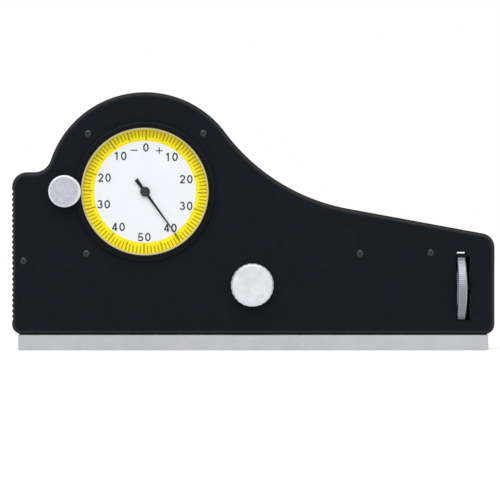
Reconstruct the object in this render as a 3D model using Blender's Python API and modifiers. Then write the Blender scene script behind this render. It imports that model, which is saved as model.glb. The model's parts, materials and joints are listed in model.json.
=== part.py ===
"""Dial thread pitch gauge: a flat two-shell housing with a dial movement, a sensing
contact on a spring-loaded slide and a second contact set by a thumbwheel and screw.

World axes: +X along the gauge to its thumbwheel end, +Y from the dial to the back,
+Z up. The origin is under the middle of the base shoe. In the comments "forward" is
the distance towards the reader, along -Y.
"""

import math

import bmesh
import bpy
from mathutils import Vector

MM = 0.001

# Housing outline
LENGTH = 150.0 * MM
WALL = 2.6 * MM
FRONT_WALL = 2.5 * MM
REAR_WALL = 2.3 * MM
DOME_MARGIN = 9.45 * MM
DOME_SIDE = 10.4 * MM
SWEEP_RADIUS = 61.5 * MM
ARM_SLOPE = math.radians(10.4)
ARM_END_HEIGHT = 35.7 * MM
SHOULDER_HEIGHT = 55.4 * MM
SHOULDER_FILLET = 5.3 * MM
LEFT_CORNER = 4.7 * MM
RIGHT_CORNER = 4.4 * MM
BOTTOM_CORNER = 3.0 * MM
RIM_ROUND = 1.6 * MM
RIM_STEPS = 2
SERRATION_PITCH = 1.65 * MM
SERRATION_DEPTH = 0.55 * MM
SERRATION_TOP = 50.2 * MM
SERRATION_END = 9.0 * MM

# Clearances
SEAT = 0.3 * MM
RUN = 0.1 * MM

# Sides of the round pieces
SMALL_SIDES = 10
SHAFT_SIDES = 14
KNOB_SIDES = 30
DIAL_SIDES = 36

# Base shoe
SHOE_STEP = 2.0 * MM
SHOE_WIDTH = 15.2 * MM
SHOE_HEIGHT = 4.7 * MM
CHANNEL_HALF_WIDTH = 6.0 * MM
CHANNEL_DEPTH = 2.2 * MM
SHOE_SCREW_HEAD = 2.2 * MM
SHOE_SCREW_SHANK = 1.2 * MM
SHOE_SCREW_HEAD_HEIGHT = 1.2 * MM

# Dial and bezel
DIAL_Z = 49.3 * MM
DIAL_RADIUS = 19.95 * MM
DIAL_THICKNESS = 0.5 * MM
DIAL_SINK = 1.4 * MM
BEZEL_WALL = 0.5 * MM
BEZEL_FLANGE = 1.0 * MM
BEZEL_HEIGHT = 1.3 * MM
BEZEL_LEDGE = 2.1 * MM
CRYSTAL_THICKNESS = 0.8 * MM
RIM_WALL = 0.2 * MM
RIM_HEIGHT = 0.9 * MM
SNAP_WIDTH = 1.4 * MM
SNAP_THICKNESS = 0.35 * MM
SNAP_SPLIT = 3.0 * MM

# Pointer, drawn at its reading in the rest position
POINTER_LENGTH = 18.3 * MM
POINTER_TAIL = 4.7 * MM
POINTER_ROOT = 1.1 * MM
POINTER_TIP = 0.3 * MM
POINTER_TAIL_WIDTH = 1.2 * MM
POINTER_THICKNESS = 0.3 * MM
POINTER_HUB = 1.5 * MM
POINTER_CLOCKWISE = math.radians(144.0)

# Movement: rack, three arbors, two gear stages
ARBOR_RADIUS = 0.5 * MM
TRAIN_MODULE = 0.3 * MM
RACK_PITCH = 1.25 * MM
PINION_TEETH = 12
RACK_GEAR_TEETH = 45
IDLER_GEAR_TEETH = 48
PRESSURE_ANGLE = math.radians(20.0)
BACKLASH = 0.10 * MM
IDLER_LEAN = math.radians(30.0)
GEAR_THICKNESS = 0.8 * MM
PINION_LENGTH = 1.6 * MM
PLATE_THICKNESS = 1.0 * MM
FOOT_HEIGHT = 1.1 * MM
RACK_ROOM = 0.6 * MM
RACK_GEAR_ROOM = 0.9 * MM
TRAIN_ROOM = 1.5 * MM
PLATE_ROOM = 0.8 * MM
BEZEL_ROOM = 1.5 * MM
PLATE_LEFT = 15.0 * MM
PLATE_RIGHT = 14.4 * MM
PLATE_UP = 6.8 * MM
PLATE_DOWN = 20.4 * MM
PLATE_CORNER = 3.0 * MM
PILLAR_RADIUS = 1.5 * MM
PILLAR_INSET = 2.6 * MM
HAIRSPRING_TURNS = 3.5
HAIRSPRING_RADIUS = 4.4 * MM
HAIRSPRING_WIRE = 0.12 * MM

# Slides and contacts
CONTACT_SPAN = 50.8 * MM
SENSING_TRAVEL = 1.2 * MM
ADJUST_TRAVEL = 5.0 * MM
ROD_RADIUS = 1.2 * MM
ROD_SPREAD = 3.3 * MM
ROD_HEIGHT = 13.2 * MM
BLOCK_HALF_WIDTH = 4.7 * MM
BLOCK_BOTTOM = 9.6 * MM
SENSING_BLOCK_TOP = 17.0 * MM
SENSING_BLOCK_LEFT = 10.4 * MM
SENSING_BLOCK_RIGHT = 11.4 * MM
ARM_HALF_WIDTH = 6.2 * MM
ARM_THICKNESS = 1.2 * MM
RACK_TEETH = 9
RACK_BODY = 4.0 * MM
CARRIAGE_LEFT = 25.6 * MM
CARRIAGE_RIGHT = 8.4 * MM
STEM_RADIUS = 1.5 * MM
STEM_COVER = 2.2 * MM
STEM_NECK = 0.6 * MM
STEM_CONE = 2.6 * MM
BALL_RADIUS = 0.8 * MM
BALL_CLEAR = 0.3 * MM
STOP_LENGTH = 2.0 * MM
STOP_TOP = 16.4 * MM
LEFT_BRACKET_LENGTH = 6.0 * MM
RIGHT_BRACKET_LENGTH = 4.4 * MM
SPRING_RADIUS = 1.6 * MM
SPRING_WIRE = 0.2 * MM
SPRING_TURNS = 7
SPRING_STEPS = 8
SPRING_HEIGHT = 19.2 * MM
SPRING_PIN_LENGTH = 14.0 * MM
SPRING_COVER = 2.0 * MM

# Thumbwheel and lead screw
WHEEL_FROM_END = 9.8 * MM
WHEEL_HEIGHT = 19.3 * MM
WHEEL_RADIUS = 12.5 * MM
WHEEL_WIDTH = 2.9 * MM
WHEEL_TEETH = 50
WHEEL_TOOTH_DEPTH = 0.5 * MM
SLOT_WIDTH = 4.2 * MM
SLOT_CLEARANCE = 0.75 * MM
SLOT_PIN_RADIUS = 0.45 * MM
SLOT_PIN_GAP = 0.25 * MM
SLOT_PIN_HOLD = 1.2 * MM
SCREW_RADIUS = 2.0 * MM
SCREW_BORE_DEPTH = 24.0 * MM
SCREW_ENTRY = 2.0 * MM
NUT_WALL = 3.1 * MM
SCREW_COLLAR = 3.2 * MM
SCREW_COLLAR_LENGTH = 1.0 * MM
END_JOURNAL = 1.5 * MM
END_BRACKET_LENGTH = 3.1 * MM

# Carriage clamp in the middle and bezel clamp on the left
CLAMP_BEFORE_CONTACT = 17.5 * MM
CLAMP_HEIGHT = 20.4 * MM
CLAMP_KNOB_RADIUS = 6.7 * MM
CLAMP_KNOB_HEIGHT = 4.2 * MM
CLAMP_KNOB_CHAMFER = 0.8 * MM
CLAMP_KNURLS = 24
CLAMP_KNURL_DEPTH = 0.35 * MM
CLAMP_STUD_RADIUS = 2.0 * MM
CLAMP_STUD_LENGTH = 4.6 * MM
CLAMP_BUSH_WALL = 1.5 * MM
CLAMP_PAD_THICKNESS = 1.3 * MM
BEZEL_CLAMP_GRIP = 2.0 * MM
BEZEL_CLAMP_RADIUS = 5.05 * MM
BEZEL_CLAMP_HEIGHT = 2.5 * MM
BEZEL_CLAMP_CHAMFER = 0.45 * MM
BEZEL_CLAMP_NECK = 2.6 * MM
BEZEL_CLAMP_STEM = 1.4 * MM
BUSH_WALL = 0.9 * MM

# Screws that hold the covers, the movement and the brackets
DIAL_SCREWS = (
    (3.69 * MM, math.radians(134.5)),
    (4.05 * MM, math.radians(45.0)),
    (4.91 * MM, math.radians(226.5)),
)
LEFT_SCREW_INSET = 3.7 * MM
LEFT_SCREW_RISE = 2.4 * MM
ARM_SCREWS = ((41.9 * MM, 30.1 * MM), (20.0 * MM, 30.4 * MM))
COVER_SCREW_HEAD = 1.25 * MM
COVER_SCREW_HEAD_HEIGHT = 0.7 * MM
COVER_SCREW_SHANK = 0.95 * MM
BOSS_RADIUS = 2.6 * MM
REAR_SCREW_HEAD = 1.8 * MM
REAR_SCREW_HEAD_HEIGHT = 1.0 * MM
REAR_SCREW_SHANK = 0.9 * MM
BRACKET_SCREW_HEIGHT = 9.9 * MM

# Places that follow from the sizes above
MOVEMENT_DEPTH = (
    *(FOOT_HEIGHT, PLATE_THICKNESS, RACK_ROOM, ARM_THICKNESS, RACK_GEAR_ROOM, GEAR_THICKNESS),
    *(TRAIN_ROOM, GEAR_THICKNESS, PLATE_ROOM, PLATE_THICKNESS, BEZEL_ROOM),
)
FRONT = (REAR_WALL + sum(MOVEMENT_DEPTH) + FRONT_WALL) / 2
FRONT_INNER = FRONT - FRONT_WALL
REAR = -FRONT
REAR_INNER = REAR + REAR_WALL
PARTING = REAR_INNER + SEAT
REAR_PLATE_FORWARD = REAR_INNER + FOOT_HEIGHT
LAYER_RACK = REAR_PLATE_FORWARD + PLATE_THICKNESS + RACK_ROOM
LAYER_RACK_GEAR = LAYER_RACK + ARM_THICKNESS + RACK_GEAR_ROOM
LAYER_TRAIN = LAYER_RACK_GEAR + GEAR_THICKNESS + TRAIN_ROOM
FRONT_PLATE_FORWARD = LAYER_TRAIN + GEAR_THICKNESS + PLATE_ROOM
DIAL_FORWARD = FRONT - DIAL_SINK
BODY_BOTTOM = SHOE_HEIGHT + SEAT
FLOOR = BODY_BOTTOM + WALL
SIDE_INNER = LENGTH / 2 - WALL
BEZEL_BORE = DIAL_RADIUS + RUN
BEZEL_HUB = BEZEL_BORE + BEZEL_WALL
BEZEL_RADIUS = BEZEL_HUB + BEZEL_FLANGE
BEZEL_FRONT = FRONT + SEAT + BEZEL_HEIGHT
DOME_RADIUS = BEZEL_RADIUS + DOME_MARGIN
DIAL_X = -LENGTH / 2 + DOME_SIDE + DOME_RADIUS
SENSING_X = DIAL_X
ADJUST_X = SENSING_X + CONTACT_SPAN
CLAMP_X = ADJUST_X - CLAMP_BEFORE_CONTACT
WHEEL_X = LENGTH / 2 - WHEEL_FROM_END
NUT_TOP = WHEEL_HEIGHT + SCREW_RADIUS + NUT_WALL
SPRING_TOP = SPRING_HEIGHT + SPRING_RADIUS + SPRING_COVER
BEZEL_CLAMP_X = DIAL_X - BEZEL_RADIUS - BEZEL_CLAMP_RADIUS + BEZEL_CLAMP_GRIP
SLOT_PIN_FORWARD = FRONT - SLOT_PIN_RADIUS - SEAT
SLOT_PIN_HEIGHT = WHEEL_HEIGHT + math.sqrt(
    (WHEEL_RADIUS + SLOT_PIN_GAP + SLOT_PIN_RADIUS) ** 2 - SLOT_PIN_FORWARD**2
)
WINDOW_TOP = SLOT_PIN_HEIGHT + SLOT_PIN_RADIUS + RUN
SHOE_SCREW_PLACES = (
    (SENSING_X - LENGTH / 2) / 2,
    (SENSING_X + ADJUST_X) / 2,
    (ADJUST_X + LENGTH / 2) / 2,
)
COVER_SCREW_PLACES = (
    *(
        (
            DIAL_X + (BEZEL_RADIUS + gap) * math.cos(angle),
            DIAL_Z + (BEZEL_RADIUS + gap) * math.sin(angle),
        )
        for gap, angle in DIAL_SCREWS
    ),
    (-LENGTH / 2 + LEFT_SCREW_INSET, SPRING_TOP + BOSS_RADIUS + LEFT_SCREW_RISE),
    *((LENGTH / 2 - from_end, height) for from_end, height in ARM_SCREWS),
)
RACK_MODULE = RACK_PITCH / math.pi
TRAIN_CENTRES = (
    TRAIN_MODULE * (IDLER_GEAR_TEETH + PINION_TEETH) / 2,
    TRAIN_MODULE * (RACK_GEAR_TEETH + PINION_TEETH) / 2,
)
IDLER_X = DIAL_X - TRAIN_CENTRES[0] * math.sin(IDLER_LEAN)
IDLER_Z = DIAL_Z - TRAIN_CENTRES[0] * math.cos(IDLER_LEAN)
RACK_ARBOR_Z = IDLER_Z - math.sqrt(TRAIN_CENTRES[1] ** 2 - (IDLER_X - DIAL_X) ** 2)
RACK_LINE = RACK_ARBOR_Z - RACK_MODULE * PINION_TEETH / 2

# Ways in which a piece made along local Z stands in the world
UPRIGHT = (0.0, 0.0, 0.0)
FORWARD = (math.pi / 2, 0.0, 0.0)
ALONG_X = (0.0, math.pi / 2, 0.0)


def clear_scene():
    """Remove every object that the file starts with."""
    for item in list(bpy.data.objects):
        bpy.data.objects.remove(item, do_unlink=True)


def new_collection(name):
    """Make a collection in the scene."""
    collection = bpy.data.collections.new(name)
    bpy.context.scene.collection.children.link(collection)
    return collection


def make_material(name, color, roughness, metallic):
    """Make a Principled material."""
    material = bpy.data.materials.new(name)
    material.use_nodes = True
    shader = material.node_tree.nodes["Principled BSDF"]
    shader.inputs["Base Color"].default_value = (*color, 1.0)
    shader.inputs["Roughness"].default_value = roughness
    shader.inputs["Metallic"].default_value = metallic
    return material


clear_scene()
PARTS = new_collection("thread_pitch_gauge")
CUTTERS = new_collection("cutters")
BLACK = make_material("black_anodised", (0.011, 0.014, 0.019), 0.45, 0.3)
BEZEL_BLACK = make_material("black_bezel", (0.008, 0.009, 0.011), 0.35, 0.3)
BLACKENED = make_material("blackened_steel", (0.012, 0.013, 0.016), 0.4, 0.6)
STEEL = make_material("ground_steel", (0.56, 0.57, 0.58), 0.3, 1.0)
SATIN = make_material("satin_chrome", (0.55, 0.56, 0.6), 0.35, 1.0)
BRASS = make_material("brass", (0.72, 0.5, 0.2), 0.3, 1.0)
SPRING_STEEL = make_material("spring_steel", (0.35, 0.36, 0.4), 0.3, 1.0)
DIAL_WHITE = make_material("dial_enamel", (0.9, 0.91, 0.97), 0.5, 0.0)
CREAM = make_material("cream_ring", (0.58, 0.52, 0.27), 0.5, 0.0)
CLEAR = make_material("crystal", (0.95, 0.97, 1.0), 0.05, 0.0)
POINTER_BLACK = make_material("pointer_black", (0.01, 0.01, 0.012), 0.5, 0.0)
CARBIDE = make_material("carbide", (0.25, 0.25, 0.27), 0.15, 1.0)


def add_piece(name, mesh, material):
    """Put a mesh into the gauge under a node name, with its material."""
    piece = bpy.data.objects.new(name, mesh)
    mesh.materials.clear()
    mesh.materials.append(material)
    PARTS.objects.link(piece)
    return piece


def place(piece, at=(0.0, 0.0, 0.0), way=UPRIGHT):
    """Set a piece's origin and its direction."""
    piece.location = at
    piece.rotation_euler = way
    return piece


def as_cutter(piece):
    """Move a piece to the cutters, which only shape other pieces."""
    PARTS.objects.unlink(piece)
    CUTTERS.objects.link(piece)
    piece.hide_render = True
    piece.display_type = "WIRE"
    return piece


def combine(piece, other, operation):
    """Join a second shape to a piece, or cut it away."""
    step = piece.modifiers.new(other.name, "BOOLEAN")
    step.operation = operation
    step.solver = "EXACT"
    step.object = as_cutter(other)
    return piece


def cut(piece, *others):
    """Cut each shape away from the piece."""
    for other in others:
        combine(piece, other, "DIFFERENCE")
    return piece


def join(piece, *others):
    """Make each shape part of the piece."""
    for other in others:
        combine(piece, other, "UNION")
    return piece


def smooth_round(mesh):
    """Shade round faces smooth and keep real edges sharp."""
    mesh.shade_smooth()
    mesh.set_sharp_from_angle(angle=math.radians(35))


def box(name, low, high, material=STEEL, round_off=0.0):
    """Make a block between two corners, with rounded edges where asked."""
    mesh = bpy.data.meshes.new(name)
    shape = bmesh.new()
    bmesh.ops.create_cube(shape, size=1.0)
    size = Vector(high) - Vector(low)
    middle = (Vector(high) + Vector(low)) / 2
    bmesh.ops.scale(shape, vec=size, verts=shape.verts)
    bmesh.ops.translate(shape, vec=middle, verts=shape.verts)
    shape.to_mesh(mesh)
    shape.free()
    piece = add_piece(name, mesh, material)
    if round_off:
        bevel = piece.modifiers.new("edges", "BEVEL")
        bevel.width = round_off
        bevel.segments = 1
        bevel.limit_method = "ANGLE"
    return piece


def cylinder(name, radius, start, end, material=STEEL, steps=SHAFT_SIDES):
    """Make a round bar along local Z."""
    mesh = bpy.data.meshes.new(name)
    shape = bmesh.new()
    bmesh.ops.create_cone(
        shape, cap_ends=True, segments=steps, radius1=radius, radius2=radius, depth=end - start
    )
    bmesh.ops.translate(shape, vec=(0, 0, (start + end) / 2), verts=shape.verts)
    shape.to_mesh(mesh)
    shape.free()
    smooth_round(mesh)
    return add_piece(name, mesh, material)


def turned(name, profile, material, steps=SHAFT_SIDES, ring=False):
    """Turn a profile of (radius, height) points, which runs down the outer side."""
    mesh = bpy.data.meshes.new(name)
    shape = bmesh.new()
    corners = [shape.verts.new((radius, 0, height)) for radius, height in profile]
    for first, second in zip(corners, corners[1:]):
        shape.edges.new((first, second))
    if ring:
        shape.edges.new((corners[-1], corners[0]))
    shape.to_mesh(mesh)
    shape.free()
    piece = add_piece(name, mesh, material)
    screw = piece.modifiers.new("turn", "SCREW")
    screw.axis = "Z"
    screw.angle = math.tau
    screw.steps = steps
    screw.render_steps = steps
    screw.use_merge_vertices = True
    screw.merge_threshold = 0.000001
    screw.use_smooth_shade = True
    return piece


def arc(centre, radius, start, end, steps):
    """Points on an arc, with its angles in radians."""
    turn = (end - start) / steps
    return [
        (
            centre[0] + radius * math.cos(start + turn * i),
            centre[1] + radius * math.sin(start + turn * i),
        )
        for i in range(steps + 1)
    ]


def outline_piece(name, points, start, end, material, rim=0.0):
    """Extrude a flat outline along local Z, and round its rim at the far end."""
    curve = bpy.data.curves.new(name, "CURVE")
    curve.dimensions = "2D"
    curve.fill_mode = "BOTH"
    curve.extrude = (end - start) / 2
    spline = curve.splines.new("POLY")
    spline.points.add(len(points) - 1)
    for point, (x, y) in zip(spline.points, points):
        point.co = (x, y, 0, 1)
    spline.use_cyclic_u = True
    guide = bpy.data.objects.new(name + "_outline", curve)
    CUTTERS.objects.link(guide)
    bpy.context.view_layer.update()
    evaluated = guide.evaluated_get(bpy.context.evaluated_depsgraph_get())
    mesh = bpy.data.meshes.new_from_object(evaluated)
    bpy.data.objects.remove(guide, do_unlink=True)
    shape = bmesh.new()
    shape.from_mesh(mesh)
    bmesh.ops.remove_doubles(shape, verts=shape.verts, dist=0.000001)
    bmesh.ops.dissolve_limit(
        shape, angle_limit=math.radians(0.1), verts=shape.verts, edges=shape.edges
    )
    bmesh.ops.translate(shape, vec=(0, 0, (start + end) / 2), verts=shape.verts)
    bmesh.ops.recalc_face_normals(shape, faces=shape.faces)
    if rim:
        near = abs(rim) / 10
        level = end if rim > 0 else start
        edges = [
            edge for edge in shape.edges if all(abs(v.co.z - level) < near for v in edge.verts)
        ]
        bmesh.ops.bevel(
            shape, geom=edges, offset=abs(rim), segments=RIM_STEPS, profile=0.5, affect="EDGES"
        )
    shape.to_mesh(mesh)
    shape.free()
    smooth_round(mesh)
    return add_piece(name, mesh, material)


def rounded_rectangle(left, bottom, right, top, corner):
    """Outline of a rectangle with round corners."""
    quarter = math.pi / 2
    centres = (
        (left + corner, bottom + corner),
        (right - corner, bottom + corner),
        (right - corner, top - corner),
        (left + corner, top - corner),
    )
    points = []
    for i, centre in enumerate(centres):
        points += arc(centre, corner, quarter * (i + 2), quarter * (i + 3), 4)
    return points


def housing_outline(inset):
    """Outline of the housing, drawn this far inside its outer face.

    The dome runs by a tangent hollow sweep into the straight sloping arm on the right,
    and by a small fillet into the flat shoulder on the left.
    """
    left = -LENGTH / 2 + inset
    right = LENGTH / 2 - inset
    bottom = BODY_BOTTOM + inset
    shoulder = SHOULDER_HEIGHT - inset
    dome = DOME_RADIUS - inset
    sweep = SWEEP_RADIUS + inset
    fillet = SHOULDER_FILLET + inset
    left_corner = max(LEFT_CORNER - inset, SEAT)
    right_corner = max(RIGHT_CORNER - inset, SEAT)
    bottom_corner = max(BOTTOM_CORNER - inset, SEAT)
    dial = Vector((DIAL_X, DIAL_Z))
    along = Vector((math.cos(ARM_SLOPE), -math.sin(ARM_SLOPE)))
    outward = Vector((math.sin(ARM_SLOPE), math.cos(ARM_SLOPE)))
    arm_end = Vector((LENGTH / 2, ARM_END_HEIGHT)) - inset * outward
    foot = arm_end + sweep * outward - dial
    reach = foot.dot(along)
    back = reach - math.sqrt(reach**2 - foot.length_squared + (dome + sweep) ** 2)
    sweep_centre = dial + foot - back * along
    sweep_angle = math.atan2(*reversed(sweep_centre - dial))
    arm_angle = math.pi / 2 - ARM_SLOPE
    fillet_rise = shoulder + fillet - DIAL_Z
    fillet_run = math.sqrt((dome + fillet) ** 2 - fillet_rise**2)
    fillet_centre = (DIAL_X - fillet_run, shoulder + fillet)
    fillet_angle = math.pi - math.atan2(fillet_rise, fillet_run)
    corner_x = right - right_corner
    drop = right_corner + outward.x * (corner_x - arm_end.x)
    corner_centre = (corner_x, arm_end.y - drop / outward.y)
    half_turn = math.pi
    quarter = math.pi / 2
    points = arc((left + bottom_corner, bottom + bottom_corner), bottom_corner, half_turn, 3 * quarter, 3)
    points += arc((right - bottom_corner, bottom + bottom_corner), bottom_corner, -quarter, 0, 3)
    points += arc(corner_centre, right_corner, 0, arm_angle, 4)
    points += arc(sweep_centre, sweep, arm_angle + half_turn, sweep_angle + half_turn, 8)
    points += arc(dial, dome, sweep_angle, fillet_angle, 18)[1:]
    points += arc(fillet_centre, fillet, fillet_angle - half_turn, -quarter, 4)[1:]
    points += arc((left + left_corner, shoulder - left_corner), left_corner, quarter, half_turn, 4)
    return points


def serration_cutter():
    """The row of V grooves down the left edge, as one comb that cuts them."""
    edge = -LENGTH / 2
    outside = edge - WALL
    count = int((SERRATION_TOP - SERRATION_END) / SERRATION_PITCH)
    points = [(outside, SERRATION_TOP)]
    for i in range(count):
        top = SERRATION_TOP - i * SERRATION_PITCH
        points.append((edge - SERRATION_DEPTH / 4, top))
        points.append((edge + SERRATION_DEPTH, top - SERRATION_PITCH / 2))
    points.append((edge - SERRATION_DEPTH / 4, SERRATION_TOP - count * SERRATION_PITCH))
    points.append((outside, SERRATION_TOP - count * SERRATION_PITCH))
    comb = outline_piece("serrations", points, REAR - WALL, FRONT + WALL, BLACK)
    return place(comb, way=FORWARD)


def round_cutter(name, radius, start, end, x, z, steps=SMALL_SIDES):
    """A round hole from front to back at a place on the housing."""
    return place(cylinder(name, radius, start, end, BLACK, steps), (x, 0, z), FORWARD)


def wheel_slot():
    """The slot that a slitting saw leaves for the thumbwheel, front and back."""
    saw = cylinder(
        "wheel_slot", WHEEL_RADIUS + SLOT_CLEARANCE, -SLOT_WIDTH / 2, SLOT_WIDTH / 2, BLACK, DIAL_SIDES
    )
    return place(saw, (WHEEL_X, 0, WHEEL_HEIGHT), ALONG_X)


def slot_window():
    """The front slot's milled upper end, in which the slot pin shows above the wheel."""
    low = (WHEEL_X - SLOT_WIDTH / 2, -FRONT - WALL, WINDOW_TOP - WALL)
    high = (WHEEL_X + SLOT_WIDTH / 2, RUN - FRONT_INNER, WINDOW_TOP)
    return box("slot_window", low, high, BLACK)


def slot_pin(name, radius, reach, material):
    """A round bar across the slot's upper end, this far into both of its sides."""
    half = SLOT_WIDTH / 2 + reach
    pin = cylinder(name, radius, -half, half, material, SMALL_SIDES)
    return place(pin, (WHEEL_X, -SLOT_PIN_FORWARD, SLOT_PIN_HEIGHT), ALONG_X)


def stem_slot(name, x, before, after):
    """The slot in floor and shoe through which a contact stem reaches down."""
    half = STEM_RADIUS + SEAT
    low = (x - before - half, -half, -WALL)
    high = (x + after + half, half, FLOOR + RUN)
    return box(name, low, high, BLACK)


def stem_slots(owner):
    """Both stem slots, for one piece."""
    return (
        stem_slot(owner + "_sensing_slot", SENSING_X, SENSING_TRAVEL, 0),
        stem_slot(owner + "_adjust_slot", ADJUST_X, ADJUST_TRAVEL, ADJUST_TRAVEL),
    )


def make_front_cover():
    """Front shell: front wall, side walls and floor in one, with a boss for each screw."""
    cover = outline_piece(
        "front_cover", housing_outline(0), PARTING, FRONT, BLACK, rim=RIM_ROUND
    )
    place(cover, way=FORWARD)
    hollow = outline_piece("hollow", housing_outline(WALL), PARTING - WALL, FRONT_INNER, BLACK)
    cut(cover, place(hollow, way=FORWARD))
    for i, (x, z) in enumerate(COVER_SCREW_PLACES):
        boss = round_cutter(f"boss_{i}", BOSS_RADIUS, PARTING, FRONT - FRONT_WALL / 2, x, z)
        join(cover, boss)
    for i, (x, z) in enumerate(COVER_SCREW_PLACES):
        seat = FRONT - COVER_SCREW_HEAD_HEIGHT - RUN
        head = COVER_SCREW_HEAD + RUN
        shank = COVER_SCREW_SHANK + RUN
        cut(
            cover,
            round_cutter(f"counterbore_{i}", head, seat, FRONT + WALL, x, z),
            round_cutter(f"screw_hole_{i}", shank, PARTING - WALL, FRONT, x, z),
        )
    clamp = CLAMP_STUD_RADIUS + RUN + CLAMP_BUSH_WALL + RUN
    bezel_clamp = BEZEL_CLAMP_STEM + RUN + BUSH_WALL + RUN
    inside = FRONT_INNER - WALL
    outside = FRONT + WALL
    cut(
        cover,
        round_cutter("dial_bore", BEZEL_HUB + SEAT, inside, outside, DIAL_X, DIAL_Z, DIAL_SIDES),
        round_cutter(
            "clamp_hole", clamp, inside, outside, CLAMP_X, CLAMP_HEIGHT, SHAFT_SIDES
        ),
        round_cutter(
            "bezel_clamp_hole", bezel_clamp, inside, outside, BEZEL_CLAMP_X, DIAL_Z, SHAFT_SIDES
        ),
        wheel_slot(),
        slot_window(),
        slot_pin("slot_pin_bore", SLOT_PIN_RADIUS + RUN, SLOT_PIN_HOLD + RUN, BLACK),
        serration_cutter(),
        *stem_slots("cover"),
    )
    for i, x in enumerate(SHOE_SCREW_PLACES):
        hole = cylinder(f"floor_hole_{i}", SHOE_SCREW_SHANK + RUN, 0, FLOOR + WALL, BLACK, SMALL_SIDES)
        cut(cover, place(hole, (x, 0, 0)))
    return cover


def rear_screw_places():
    """Places of the screws that hold the movement and the brackets to the rear cover."""
    movement = [(f"movement_screw_{i + 1}", x, z) for i, (x, z) in enumerate(pillar_places())]
    brackets = [
        (f"bracket_screw_{i + 1}", x, BRACKET_SCREW_HEIGHT)
        for i, x in enumerate(bracket_middles())
    ]
    return movement + brackets


def pillar_places():
    """Three corners of the movement plates; a cover boss takes the fourth."""
    left = DIAL_X - PLATE_LEFT + PILLAR_INSET
    right = DIAL_X + PLATE_RIGHT - PILLAR_INSET
    top = DIAL_Z + PLATE_UP - PILLAR_INSET
    bottom = DIAL_Z - PLATE_DOWN + PILLAR_INSET
    return ((left, top), (right, top), (right, bottom))


def bracket_spans():
    """Left and right face of each of the three brackets along X."""
    left = -SIDE_INNER + SEAT
    right = WHEEL_X - SLOT_WIDTH / 2 - SEAT - SCREW_COLLAR_LENGTH - SEAT
    end = SIDE_INNER - SEAT
    return (
        (left, left + LEFT_BRACKET_LENGTH),
        (right - RIGHT_BRACKET_LENGTH, right),
        (end - END_BRACKET_LENGTH, end),
    )


def bracket_middles():
    """Middle of each bracket along X."""
    return [(low + high) / 2 for low, high in bracket_spans()]


def make_rear_cover():
    """Rear shell: a plate with the same outline and the tapped holes for the screws."""
    cover = outline_piece(
        "rear_cover", housing_outline(0), REAR, REAR_INNER, BLACK, rim=-RIM_ROUND
    )
    place(cover, way=FORWARD)
    for i, (x, z) in enumerate(pillar_places()):
        foot = REAR_PLATE_FORWARD - SEAT
        join(cover, round_cutter(f"foot_{i}", 2 * PILLAR_RADIUS, REAR / 2 + REAR_INNER / 2, foot, x, z))
    for i, (x, z) in enumerate(COVER_SCREW_PLACES):
        shank = COVER_SCREW_SHANK + RUN
        bottom = REAR + SEAT
        cut(cover, round_cutter(f"tapped_{i}", shank, bottom, REAR_INNER + WALL, x, z))
    for name, x, z in rear_screw_places():
        head = REAR_SCREW_HEAD + RUN
        shank = REAR_SCREW_SHANK + RUN
        seat = REAR + REAR_SCREW_HEAD_HEIGHT + RUN
        cut(
            cover,
            round_cutter(name + "_head", head, REAR - WALL, seat, x, z),
            round_cutter(name + "_hole", shank, REAR - WALL, REAR_INNER + WALL, x, z),
        )
    return cut(cover, wheel_slot(), serration_cutter())


def make_base_shoe():
    """Ground steel shoe: two rails with a shallow V between them."""
    half = LENGTH / 2 - SHOE_STEP
    side = SHOE_WIDTH / 2
    shoe = box("base_shoe", (-half, -side, 0), (half, side, SHOE_HEIGHT), STEEL, 2 * RUN)
    below = -CHANNEL_DEPTH
    spread = CHANNEL_HALF_WIDTH * 2
    section = [(-spread, below), (spread, below), (0, CHANNEL_DEPTH)]
    channel = outline_piece("channel", section, -LENGTH, LENGTH, STEEL)
    place(channel, way=(math.pi / 2, 0, math.pi / 2))
    cut(shoe, channel, *stem_slots("shoe"))
    for i, x in enumerate(SHOE_SCREW_PLACES):
        seat = CHANNEL_DEPTH + SEAT + SHOE_SCREW_HEAD_HEIGHT + RUN
        head = cylinder(f"shoe_head_{i}", SHOE_SCREW_HEAD + RUN, -WALL, seat, STEEL, SMALL_SIDES)
        shank = cylinder(f"shoe_hole_{i}", SHOE_SCREW_SHANK + RUN, 0, FLOOR, STEEL, SMALL_SIDES)
        cut(shoe, place(head, (x, 0, 0)), place(shank, (x, 0, 0)))
    return shoe


def make_cover_screws():
    """Small domed screws through the front cover into the rear cover."""
    top = FRONT + RUN
    shoulder = FRONT - COVER_SCREW_HEAD_HEIGHT
    tip = REAR + 2 * SEAT
    for i, (x, z) in enumerate(COVER_SCREW_PLACES):
        profile = [
            (0, top),
            (COVER_SCREW_HEAD, top - 2 * RUN),
            (COVER_SCREW_HEAD, shoulder),
            (COVER_SCREW_SHANK, shoulder),
            (COVER_SCREW_SHANK, tip),
            (0, tip),
        ]
        screw = turned(f"cover_screw_{i + 1}", profile, BLACKENED, SMALL_SIDES)
        place(screw, (x, 0, z), FORWARD)


def make_shoe_screws():
    """Screws from the V channel up into the floor of the front cover."""
    low = CHANNEL_DEPTH + SEAT
    neck = low + SHOE_SCREW_HEAD_HEIGHT
    top = FLOOR - SEAT
    for i, x in enumerate(SHOE_SCREW_PLACES):
        profile = [
            (0, top),
            (SHOE_SCREW_SHANK, top),
            (SHOE_SCREW_SHANK, neck),
            (SHOE_SCREW_HEAD, neck),
            (SHOE_SCREW_HEAD, low),
            (0, low),
        ]
        place(turned(f"shoe_screw_{i + 1}", profile, STEEL, SMALL_SIDES), (x, 0, 0))


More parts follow.
